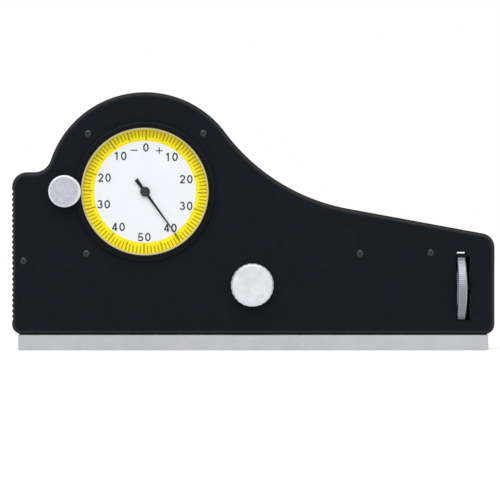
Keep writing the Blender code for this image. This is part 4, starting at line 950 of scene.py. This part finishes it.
@dataclass
class Screws:
    """Cross-recessed screws in the front, in the back and under the shoe."""

    shop: Workshop
    model: float = 1.25  # Radius of the head that the next four sizes are for. Other heads are scaled
    dome: float = 0.28  # Height of the domed head's crown above its edge
    recess: float = 0.34  # Depth of the cross recess
    arm: float = 0.62  # Half length of an arm of the cross
    width: float = 0.15  # Half width of an arm of the cross
    lip: float = 0.03  # How far the outermost ring is drawn in, as a small round
    # Angle at which each cross stands, in radians
    turns: tuple[float, ...] = (0.5, 1.2, 0.1, 0.8, 0.35, 1.0)
    # Each kind with its count, its finish and the thickness of its head
    kinds: tuple[tuple[str, int, str, float], ...] = (
        ("cover_screw", 6, "blackened_steel", 0.75),
        ("movement_screw", 3, "blackened_steel", 0.9),
        ("bracket_screw", 3, "blackened_steel", 0.9),
        ("shoe_screw", 3, "ground_steel", 1.2),
    )

    def head(
        self, name: str, seat: Seat, radius: float, base: float, edge: float, turn: float
    ) -> bpy.types.Object:
        """One screw head with a crown and a cross recess.

        The crown is h = edge + dome (1 - (r/R)^2). The cross takes away
        recess * s(width - min(|x|,|y|)) * s(arm - max(|x|,|y|)), where s is a smooth step.

        Args:
            name: Name of the piece.
            seat: Where the head's axis lies.
            radius: Radius of the head.
            base: Local height of the head's underside.
            edge: Local height of the head's edge.
            turn: Angle of the cross, in radians.

        Returns:
            The screw head.
        """
        toward = math.copysign(1.0, edge - base)
        scale = radius / self.model
        rings = np.concatenate([[0.0], np.linspace(0.04, 0.96, 26), [0.985, 1.0]]) * radius
        angle = np.linspace(0, TAU, 96, endpoint=False)
        r, a = np.meshgrid(rings, angle, indexing="ij")
        u, v = np.abs(r * np.cos(a - turn)), np.abs(r * np.sin(a - turn))
        slope = 0.07 * scale
        side = np.clip((self.width * scale - np.minimum(u, v)) / slope + 0.5, 0, 1)
        end = np.clip((self.arm * scale - np.maximum(u, v)) / slope / 2 + 0.5, 0, 1)
        cross = (side**2 * (3 - 2 * side)) * (end**2 * (3 - 2 * end))
        crown = self.dome * scale * (1 - (r / radius) ** 2) - self.recess * scale * cross
        crown[rings > 0.97 * radius] -= self.lip
        top = np.stack([r * np.cos(a), r * np.sin(a), edge + toward * crown], axis=-1)
        wall = np.stack([
            np.stack([radius * np.cos(angle), radius * np.sin(angle), np.full(96, h)], axis=-1)
            for h in (edge - toward * self.lip, base)
        ])
        shape = Shape().grid(seat.world(top)).grid(seat.world(wall)).cap(seat.world(wall[1]))
        screw = shape.piece(name, 40)

        def black(places: np.ndarray) -> np.ndarray:
            """The cross and the outer third, painted dark as shade in the recess and round the head's edge.

            Args:
                places: Points in millimetres.

            Returns:
                Weight of each point.
            """
            from_axis = seat.off_axis(places) / radius
            height = toward * (edge - seat.local(places)[:, 2])
            deep = height + self.dome * scale * (1 - from_axis**2)
            return np.maximum((from_axis - 0.6) / 0.35, (deep - 0.12) / 0.4)

        mark(screw, black)
        return screw

    def build(self) -> None:
        """Every screw that shows, with its head turned out of the housing or the shoe."""
        for kind, count, finish, thick in self.kinds:
            for i in range(count):
                node = f"{kind}_{i + 1}"
                box = Extent.of(node)
                seat, radius, outer, toward = box.seat, box.radius, box.back, -1
                if kind == "shoe_screw":
                    seat, radius, outer = box.upright, box.radius_across, box.bottom
                crown = self.dome * radius / self.model
                if kind == "cover_screw":
                    outer, toward, crown = box.front, 1, self.dome
                base, edge = outer - toward * thick, outer - toward * crown
                piece = self.head(node + "_head", seat, radius, base, edge, self.turns[i])
                self.shop.deliver(piece, "housing", finish, node)


@dataclass
class Dial:
    """Bezel, crystal and printed dial plate, all on the bezel's body."""

    shop: Workshop
    ring_inner: float = 15.8  # Inner radius of the yellow scale ring
    minor: float = 16.95  # Inner radius of the short graduations
    fifth: float = 16.45  # Inner radius of every fifth graduation
    tenth: float = 16.05  # Inner radius of every tenth graduation
    outer: float = 19.15  # Outer radius of the graduations
    divisions: int = 100  # Number of graduations
    tick: float = 0.34  # Width of a graduation
    bold: float = 1.3  # How much wider every fifth graduation is
    figure: float = 2.6  # Height of the figures
    # Each figure with the distance of its middle from the dial's
    figure_radii: dict[int, float] = field(
        default_factory=lambda: {0: 13.75, 10: 13.55, 20: 13.35, 30: 13.45, 40: 13.7, 50: 14.1}
    )
    # The minus and the plus sign with the places of their middles
    signs: tuple[tuple[str, float, float], ...] = (("−", -3.85, 12.8), ("+", 3.95, 12.8))
    advance: float = 0.8  # Distance from one figure to the next, in figure heights
    figure_width: float = 0.64  # Width of one figure, in figure heights
    widen: float = 1.08  # How much wider the figures are than their centre lines give
    stroke: float = 0.44  # Width of a figure's stroke
    sign_stroke: float = 0.75  # The share of it that a sign's stroke has
    spacer: tuple[float, float] = (19.27, 19.76)  # Inner and outer radius of the cream spacer
    turn: float = 1.1  # How far the dial is set clockwise, in degrees
    layer: float = 0.012  # Thickness of a printed layer
    hole: float = 1.5  # Radius of the hole in the dial plate
    hub_wall: float = 0.6  # From the dial plate's edge to the side of the bezel's hub
    ledge_width: float = 2.0  # Width of the ledge that the dial plate lies on
    ridges: int = 150  # Number of ridges round the bezel
    ridge_depth: float = 0.1  # Depth of the valleys between them
    bulge: float = 0.2  # How much higher the crystal is in the middle than at its edge
    plate: Extent = field(default_factory=lambda: Extent.of("dial_plate"))

    def spot(self, clockwise: float, radius: float) -> tuple[float, float]:
        """Place on the dial at an angle from its top and a distance from its middle."""
        angle = math.radians(clockwise)
        return radius * math.sin(angle), radius * math.cos(angle)

    def graduations(self) -> bpy.types.Object:
        """A hundred thin bars, each a box between two radii, as one printed layer.

        Returns:
            The layer.
        """
        number = np.arange(self.divisions)
        angle = np.radians(90 - self.turn) - number * TAU / self.divisions
        inner = np.where(number % 10 == 0, self.tenth, np.where(number % 5 == 0, self.fifth, self.minor))
        width = np.where(number % 5 == 0, self.bold, 1.0) * self.tick
        low = self.plate.front + self.layer
        corners = ((0, -1), (1, -1), (1, 1), (0, 1))
        along = np.stack([np.where(c[0], self.outer, inner) for c in corners], axis=1)
        across = np.stack([c[1] * width / 2 for c in corners], axis=1)
        cos, sin = np.cos(angle)[:, None], np.sin(angle)[:, None]
        flat = np.stack([along * cos - across * sin, along * sin + across * cos], axis=-1)
        shape = Shape()
        for bar in flat:
            rows = np.stack([np.column_stack([bar, np.full(4, h)]) for h in (low, low + self.layer)])
            shape.prism(self.plate.seat.world(rows))
        return shape.piece("graduations")

    def figures(self) -> bpy.types.Object:
        """The figures 0 to 50 both ways round, with a minus and a plus sign, as flat print.

        The second stroke of a figure lies a tenth of a layer higher, so that the two don't
        share a plane where they cross.

        Returns:
            The print.
        """
        step = 360 / self.divisions
        marks = [
            (str(number), *self.spot(way * number * step, radius))
            for number, radius in self.figure_radii.items()
            for way in ((-1, 1) if number % 50 else (1,))
        ]
        turn = math.radians(self.turn)
        low = self.plate.front
        size = (self.figure * self.widen, self.figure)
        shape = Shape()
        for label, x, z in (*marks, *self.signs):
            middle = np.array((self.advance * (len(label) - 1) + self.figure_width, 1.0)) / 2
            at = turned_clockwise(x, z, turn)
            width = self.stroke * (1.0 if label.isdigit() else self.sign_stroke)
            for place, sign in enumerate(label):
                for layer, stroke in enumerate(STROKES[sign]):
                    path = (stroke + (place * self.advance, 0) - middle) * size + at
                    high = low + self.layer * (1 + 0.1 * layer)
                    shape.ribbon(path, width, low, high, self.plate.seat)
        return shape.piece("figures")

    def build_plate(self) -> None:
        """Dial plate, yellow ring, graduations and figures."""
        box, hole = self.plate, self.hole
        radius, front, back = box.radius, box.front, box.back
        plate = softened([(hole, back), (hole, front), (radius, front), (radius, back)], 0.05)
        face = turned("dial_face", np.vstack([plate, plate[:1]]), box.seat, RING_SIDES)
        self.shop.deliver(face, "bezel", "dial_enamel", "dial_plate")
        inner, edge, high = self.ring_inner, radius - 0.02, front + self.layer
        band = np.array([(inner, front), (inner, high), (edge, high), (edge, front), (inner, front)])
        self.shop.deliver(turned("scale_ring", band, box.seat, RING_SIDES), "bezel", "scale_yellow")
        self.shop.deliver(self.graduations(), "bezel", "scale_ink")
        self.shop.deliver(self.figures(), "bezel", "figure_ink")

    def build_bezel(self) -> None:
        """Black bezel ring with a finely knurled side, and the cream spacer in its bore."""
        box = Extent.of("bezel_ring")
        inner, outer = self.spacer
        hub = self.plate.radius + self.hub_wall
        bore = outer + 0.02
        ledge_bore = self.plate.radius - self.ledge_width
        ledge = self.plate.back - 0.3
        chamfer = 0.4
        profile = softened(
            [
                (bore, ledge + 0.01), (bore, box.front - 0.2), (bore + 0.25, box.front),
                (box.radius - chamfer, box.front), (box.radius, box.front - chamfer),
                (box.radius, OVER_FACE), (hub, OVER_FACE), (hub, box.back),
                (ledge_bore, box.back), (ledge_bore, ledge), (bore, ledge),
            ],
            0.12,
        )

        def knurl(radius: np.ndarray, height: np.ndarray, angle: np.ndarray) -> np.ndarray:
            """Straight knurl on the side: -depth (1 + cos n a) / 2 where the wall is outermost."""
            side = (radius > box.radius - 0.02) & (height < box.front - 0.45) & (height > OVER_FACE + 0.08)
            return np.where(side, -self.ridge_depth * (1 + np.cos(self.ridges * angle)) / 2, 0.0)

        def polished(places: np.ndarray) -> np.ndarray:
            """Painted highlight on the outer chamfer."""
            lip = 1 - np.abs(box.seat.off_axis(places) - (box.radius - 0.12)) / 0.15
            return 0.4 * lip * (-places[:, 1] > box.front - 0.6)

        ring = turned("bezel", profile, box.seat, 900, knurl)
        mark(ring, polished)
        self.shop.deliver(ring, "bezel", "black_bezel", "bezel_ring")
        top, low = box.front - 0.38, Extent.of("dial_rim").back
        section = softened([(inner, low), (inner, top), (outer, top), (outer, low), (inner, low)], 0.05)
        self.shop.deliver(turned("spacer", section, box.seat, RING_SIDES), "bezel", "cream_ring", "dial_rim")

    def build_crystal(self) -> None:
        """Slightly domed crystal: h = front - bulge (r/R)^2, with a small edge round."""
        box = Extent.of("crystal")
        edge = self.spacer[0] - 0.02
        radius = np.linspace(0, edge - 0.12, 24)
        crown = np.stack([radius, box.front - self.bulge * (radius / edge) ** 2], axis=-1)
        side = [(edge, box.front - 0.32), (edge, box.back + 0.05), (edge - 0.05, box.back), (0, box.back)]
        lens = turned("lens", np.vstack([crown, side]), box.seat, RING_SIDES)
        self.shop.deliver(lens, "bezel", "crystal", "crystal")

    def build(self) -> None:
        """Plate, bezel and crystal."""
        self.build_plate()
        self.build_bezel()
        self.build_crystal()


@dataclass
class Pointer:
    """Pointer on its hub."""

    shop: Workshop
    length: float = 18.3  # From the axis to the tip
    tail: float = 4.7  # From the axis to the end of the tail
    root: float = 0.88  # Width of the needle at the hub
    tip: float = 0.12  # Width of the needle at its tip
    tail_width: float = 1.2  # Width of the tail at its end
    hub: float = 1.5  # Radius of the hub
    clockwise: float = 144.0  # Direction of the needle at rest, in degrees from the top
    lift: float = 0.3  # Room between the dial plate and the needle, and the needle's thickness

    def blade(self, seat: Seat, low: float, high: float) -> Shape:
        """Needle with a shallow roof: across it, h = high - drop |s|, with s from -1 to 1.

        Args:
            seat: Seat on the dial's axis.
            low: Forward position of its underside.
            high: Forward position of its ridge.

        Returns:
            The shape.
        """
        along = np.concatenate([np.linspace(-self.tail, -0.8, 8), np.linspace(-0.4, self.length, 30)])
        tail = np.interp(along, (-self.tail, -0.8), (self.tail_width, self.root))
        needle = np.interp(along, (0, self.length), (self.root, self.tip))
        half = np.where(along < -0.4, tail, needle) / 2
        across = np.array([-1.0, -0.92, 0.0, 0.92, 1.0, 0.92, 0.0, -0.92])
        height = np.array([0.35, 0.8, 1.0, 0.8, 0.35, 0.0, 0.0, 0.0])
        x = half[:, None] * across[None, :]
        y = np.repeat(along[:, None], 8, axis=1)
        z = low + (high - low) * np.repeat(height[None, :], len(along), axis=0)
        flat = turned_clockwise(x, y, math.radians(self.clockwise))
        return Shape().prism(seat.world(np.concatenate([flat, z[..., None]], axis=-1)))

    def build(self) -> None:
        """The needle, and the hub with the end of the arbor in it."""
        dial = Extent.of("dial_plate")
        low = dial.front + self.lift
        blade = self.blade(dial.seat, low, low + self.lift).piece("needle", 20)
        self.shop.deliver(blade, "pointer", "pointer_black", "pointer")
        top = Extent.of("crystal").back - 0.06
        profile = softened(
            [
                (0, top - 0.05), (0.5, top - 0.05), (0.6, top), (self.hub - 0.35, top),
                (self.hub, top - 0.2), (self.hub, low - 0.08), (0, low - 0.08),
            ],
            0.06,
        )
        hub = turned("needle_hub", profile, dial.seat, 64)
        mark(hub, lambda places: 0.8 * (-places[:, 1] > top - 0.1))
        self.shop.deliver(hub, "pointer", "pointer_black")


@dataclass
class Knobs:
    """Clamp knob, bezel clamp and thumbwheel, all plated."""

    shop: Workshop
    bore: float = 2.1  # Radius of the bore in the clamp knob and in the wheel
    flutes: int = 24  # Number of flutes round the clamp knob
    flute_depth: float = 0.1  # Depth of a flute
    chamfer: float = 0.62  # Width of the clamp knob's bright chamfer
    hollow: float = 0.12  # Depth of the hollow in its face
    lock_chamfer: float = 0.5  # Width of the bezel clamp's chamfer
    lock_ridges: int = 60  # Number of ridges round the bezel clamp
    lock_depth: float = 0.12  # Depth of the valleys between them
    # Radius of the bezel clamp's neck over the housing, and inside it
    lock_neck: tuple[float, float] = (2.6, 1.4)
    teeth: int = 130  # Number of teeth round the thumbwheel
    tooth_depth: float = 0.05  # Depth of the thumbwheel's knurl
    wheel_width: float = 2.8  # Width of the wheel
    wheel_shift: float = -0.7  # How far the wheel stands off the middle of its space
    # Outer and inner distance from the rim of the groove in the wheel's faces
    groove: tuple[float, float] = (1.4, 3.2)
    groove_depth: float = 0.25  # Depth of that groove

    def chamfered(self, box: Extent, width: float) -> Weigh:
        """Weight of the painted highlight: 1 on a knob's front chamfer and 0 elsewhere.

        Args:
            box: The knob's extent.
            width: Width of the chamfer.

        Returns:
            Function of the points' places.
        """

        def weigh(places: np.ndarray) -> np.ndarray:
            """Both distances from the chamfer's inner and lower edge, as two short ramps."""
            outside = ramp(box.seat.off_axis(places), box.radius - 1.05 * width, 0.1 * width)
            return outside * ramp(-places[:, 1], box.front - 1.6 * width, 0.3 * width)

        return weigh

    def build_clamp(self) -> None:
        """Clamp knob: fluted side, wide chamfer with a painted highlight and a face turned slightly hollow.
        """
        box = Extent.of("clamp_knob")
        radius, bore = box.radius, self.bore
        well = Extent.of("clamp_stud").front + 0.12
        rings = np.linspace(0, radius - self.chamfer, 12)
        face = [(r, box.front - self.hollow * (1 - (r / rings[-1]) ** 2)) for r in rings]
        side = softened(
            face[-2:] + [
                (radius, box.front - self.chamfer), (radius, box.back + 0.4), (radius - 0.4, box.back),
                (bore, box.back), (bore, well), (0, well),
            ],
            0.12,
        )

        def flute(r: np.ndarray, height: np.ndarray, angle: np.ndarray) -> np.ndarray:
            """Round flutes: -depth max(0, cos(n a))^0.8 on the side, fading at both ends."""
            level = ramp(box.front - height, 0.35, 0.4) * (r > radius - 0.6)
            return -self.flute_depth * level * np.clip(np.cos(self.flutes * angle), 0, 1) ** 0.8

        knob = turned("clamp_grip", np.vstack([face[:-2], side]), box.seat, KNOB_SIDES, flute)
        mark(knob, self.chamfered(box, self.chamfer))
        self.shop.deliver(knob, "clamp", "lit_knob_chrome", "clamp_knob", "satin_chrome")

    def build_bezel_clamp(self) -> None:
        """Bezel clamp: flat satin face, chamfer with a painted highlight, and a fine knurl round its side.
        """
        box = Extent.of("bezel_clamp_knob")
        under = Extent.of("bezel_ring").front + 0.3
        radius, chamfer = box.radius, self.lock_chamfer
        neck, inner = self.lock_neck
        profile = softened(
            [
                (0, box.front), (radius - chamfer, box.front), (radius, box.front - chamfer),
                (radius, under + 0.1), (radius - 0.1, under), (neck, under), (neck, OVER_FACE),
                (inner, OVER_FACE), (inner, box.back), (0, box.back),
            ],
            0.1,
        )

        def knurl(r: np.ndarray, height: np.ndarray, angle: np.ndarray) -> np.ndarray:
            """Fine straight knurl on the side: -depth (1 + cos n a) / 2."""
            level = ramp(box.front - height, 0.25, 0.3) * (r > radius - 0.3)
            return -self.lock_depth * level * (1 + np.cos(self.lock_ridges * angle)) / 2

        knob = turned("bezel_clamp_grip", profile, box.seat, KNOB_SIDES, knurl)
        mark(knob, self.chamfered(box, chamfer))
        self.shop.deliver(knob, "bezel_clamp", "satin_chrome", "bezel_clamp_knob")

    def build_wheel(self) -> None:
        """Thumbwheel: fine straight knurl with rounded crests, chamfered to both faces, the chamfers painted
        lighter as highlights.
        """
        box = Extent.of("thumbwheel")
        half = self.wheel_width / 2
        middle = box.x + self.wheel_shift
        radius = box.radius
        rim, hub = (radius - distance for distance in self.groove)
        floor = half - self.groove_depth
        upper = [
            (self.bore, half), (hub, half), (hub + 0.2, floor), (rim - 0.2, floor), (rim, half),
            (radius - 0.45, half), (radius, half - 0.35),
        ]
        lower = [(r, -h) for r, h in reversed(upper)]
        profile = softened([*upper, *lower, upper[0]], 0.1, 2)

        def knurl(r: np.ndarray, height: np.ndarray, angle: np.ndarray) -> np.ndarray:
            """Crests with round tops and V valleys: -depth |cos(n a / 2)|^1.5 near the rim."""
            depth = self.tooth_depth * ramp(r, radius - 0.4, 0.35)
            return -depth * np.abs(np.cos(self.teeth * angle / 2)) ** 1.5

        wheel = turned("knurled_wheel", profile, Seat(middle, 0, box.z, Way.ALONG_X), 1040, knurl)
        # Painted highlight on the chamfers at both faces of the wheel
        mark(wheel, lambda places: (np.abs(places[:, 0] - middle) - half + 0.5) / 0.2)
        self.shop.deliver(wheel, "wheel", "shaded_knurl_chrome", "thumbwheel", "satin_chrome")

    def build_pin(self) -> None:
        """Pin across the upper end of the wheel's slot, painted wholly in the near-white edge colour as a
        highlight.
        """
        pin = Extent.of("slot_pin")
        half = pin.radius_across
        bar = softened([(0, half), (pin.radius, half), (pin.radius, -half), (0, -half)], 0.12)
        middle = -(pin.front + pin.back) / 2
        piece = turned("guard_pin", bar, Seat(pin.x, middle, pin.z, Way.ALONG_X), 48)
        # Painted highlight: the whole pin takes the near-white edge colour
        mark(piece, lambda places: np.ones(len(places)))
        self.shop.deliver(piece, "housing", "satin_chrome", "slot_pin")

    def build(self) -> None:
        """All three knobs and the pin in the wheel's slot."""
        self.build_clamp()
        self.build_bezel_clamp()
        self.build_wheel()
        self.build_pin()


@dataclass
class Shoe:
    """Ground base shoe: two rails with a V channel between them."""

    shop: Workshop
    channel: float = 6.0  # Half width of the V channel at the bottom
    depth: float = 2.2  # Depth of the V channel
    chamfer: float = 0.25  # Chamfer on the outer edges
    shank: float = 1.3  # Radius of a shoe screw's shank
    head_seat: float = 1.3  # Depth of the seat of a screw's head
    slot_top: float = 9.0  # Height that the cutters of the stems' slots reach
    room: float = 0.29  # Room under the housing in the CAD, which the shoe fills here
    box: Extent = field(default_factory=lambda: Extent.of("base_shoe"))

    def section(self, inset: float) -> np.ndarray:
        """Outline of the shoe across its length, as y and z.

        Args:
            inset: How far the outer sides are drawn in, at the chamfered ends.

        Returns:
            Array of points by two coordinates, anticlockwise.
        """
        half, top = self.box.front - inset, self.box.top + self.room - inset
        edge, low = self.chamfer, self.box.bottom + inset
        rise = low * self.channel / self.depth
        return np.array([
            (-self.channel + rise, low), (0, self.depth), (self.channel - rise, low),
            (half - edge, low), (half, low + edge), (half, top - edge), (half - edge, top),
            (-half + edge, top), (-half, top - edge), (-half, low + edge), (-half + edge, low),
        ])

    def build(self) -> None:
        """The shoe with its screw seats and the slots for both stems."""
        box, edge = self.box, self.chamfer
        stations = ((box.left, edge), (box.left + edge, 0), (box.right - edge, 0), (box.right, edge))
        sections = [(x, self.section(inset)) for x, inset in stations]
        rows = np.stack([np.column_stack([np.full(len(s), x), s]) for x, s in sections]) * MM
        shoe = Shape().prism(rows).piece("shoe")
        cutters = []
        for i in range(3):
            screw = Extent.of(f"shoe_screw_{i + 1}")
            seat, radius, low, floor = screw.upright, screw.radius_across + PLAY, -PAST, screw.bottom
            cutters.append(drill(f"head_{i}", seat, radius, floor + self.head_seat, low, sides=64))
            cutters.append(drill(f"shank_{i}", seat, self.shank, box.top + PAST, floor + PAST, sides=64))
        carve(shoe, *cutters, *stem_slots("_gate", -PAST, self.slot_top))
        self.shop.deliver(shoe, "housing", "ground_steel", "base_shoe")


@dataclass
class Contacts:
    """The two contact stems with their balls, under the gauge."""

    shop: Workshop
    cone: float = 2.6  # Height of the cone at a stem's foot
    neck: float = 0.6  # Radius of the cone's small end

    def build(self) -> None:
        """Round stems and round balls in place of the faceted ones."""
        for body, prefix in (("sensing", "sensing"), ("carriage", "adjusting")):
            stem = Extent.of(f"{prefix}_stem")
            radius, low, top = stem.radius_across, stem.bottom, stem.top
            corners = [(0, top), (radius, top), (radius, low + self.cone), (self.neck, low), (0, low)]
            pin = turned(f"{prefix}_contact", softened(corners, 0.15), stem.upright, 64)
            self.shop.deliver(pin, body, "ground_steel", f"{prefix}_stem")
            ball = Extent.of(f"{prefix}_ball")
            turn = np.linspace(0, math.pi, 25)
            sphere = np.stack([ball.radius * np.sin(turn), ball.z + ball.radius * np.cos(turn)], axis=-1)
            sphere[[0, -1], 0] = 0.0
            tip = turned(f"{prefix}_tip", sphere, stem.upright, 48)
            self.shop.deliver(tip, body, "carbide", f"{prefix}_ball")


@dataclass
class Studio:
    """Camera, lights, white floor and white surroundings."""

    camera: tuple[float, float, float] = (-1.02, -608.0, 31.2)  # Place of the camera in millimetres
    lens: float = 139.32  # Focal length in millimetres on the sensor's width
    sensor: float = 36.0  # Width of the sensor in millimetres
    floor: float = 4.0  # Half width of the floor in metres
    glow: float = 0.35  # How much the floor adds to its own light, so that it shows white
    ambient: float = 0.5  # Level of the white surroundings as light

    def build_camera(self) -> None:
        """Level camera in front of the dial, at the photograph's viewing angle."""
        data = bpy.data.cameras.new("camera")
        data.lens = self.lens
        data.sensor_width = self.sensor
        data.clip_start = 0.01
        camera = bpy.data.objects.new("camera", data)
        camera.location = Vector(self.camera) * MM
        camera.rotation_euler = (math.pi / 2, 0, 0)
        bpy.context.scene.collection.objects.link(camera)
        bpy.context.scene.camera = camera

    def build_lights(self) -> None:
        """One soft key from above, in front and a little left, and a weaker fill from the right."""
        for name, strength, spread, tilt, swing in (
            ("key", 1.66, 50.0, 38.0, -12.0),
            ("fill", 0.5, 90.0, 70.0, 35.0),
        ):
            data = bpy.data.lights.new(name, "SUN")
            data.energy = strength
            data.angle = math.radians(spread)
            lamp = bpy.data.objects.new(name, data)
            lamp.rotation_euler = (math.radians(tilt), 0, math.radians(swing))
            bpy.context.scene.collection.objects.link(lamp)

    def build_floor(self) -> None:
        """Matte white floor that keeps the shadow, white to the camera where it is lit."""
        half = self.floor
        rows = np.array([
            [(-half, -half, 0), (half, -half, 0)],
            [(-half, half, 0), (half, half, 0)],
        ], float)
        floor = Shape().grid(rows, around=False).piece("floor")
        material, tree, shader = new_material("white_floor")
        seen = {0: self.seen_rays(tree)}
        glow = add_node(tree, "ShaderNodeMath", 0, {1: self.glow}, seen, operation="MULTIPLY")
        matte = {"Base Color": (0.93, 0.93, 0.93, 1), "Roughness": 0.9, "Specular IOR Level": 0.0}
        feed(tree, shader, {**matte, "Emission Color": WHITE}, {"Emission Strength": glow})
        floor.data.materials.append(material)

    def seen_rays(self, tree: bpy.types.NodeTree) -> bpy.types.NodeSocket:
        """Whether a ray comes from the camera, a mirror or glass.

        Args:
            tree: The node tree to build in.

        Returns:
            Socket that gives 1 for such a ray and 0 for any other.
        """
        seen = add_node(tree, "ShaderNodeLightPath", "Is Camera Ray")
        rays = seen.node.outputs
        for kind in ("Is Glossy Ray", "Is Transmission Ray"):
            seen = add_node(tree, "ShaderNodeMath", 0, links={0: seen, 1: rays[kind]}, operation="MAXIMUM")
        return seen

    def build_world(self) -> None:
        """White to the eye and in reflections, and a plain soft level as light."""
        world = bpy.data.worlds.new("studio")
        world.use_nodes = True
        tree = world.node_tree
        levels = {3: self.ambient, 4: 1.0}
        level = add_node(tree, "ShaderNodeMapRange", 0, levels, {0: self.seen_rays(tree)})
        feed(tree, tree.nodes["Background"], {"Color": WHITE}, {"Strength": level})
        bpy.context.scene.world = world

    def build(self) -> None:
        """The whole studio."""
        self.build_camera()
        self.build_lights()
        self.build_floor()
        self.build_world()
        bpy.context.scene.view_settings.view_transform = "Standard"


def main() -> None:
    """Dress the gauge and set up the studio."""
    logging.basicConfig(level=logging.INFO, format="%(name)s %(message)s")
    shop = Workshop()
    for part in (Housing, Screws, Dial, Pointer, Knobs, Shoe, Contacts):
        part(shop).build()
    Studio().build()


if __name__ == "__main__":
    main()
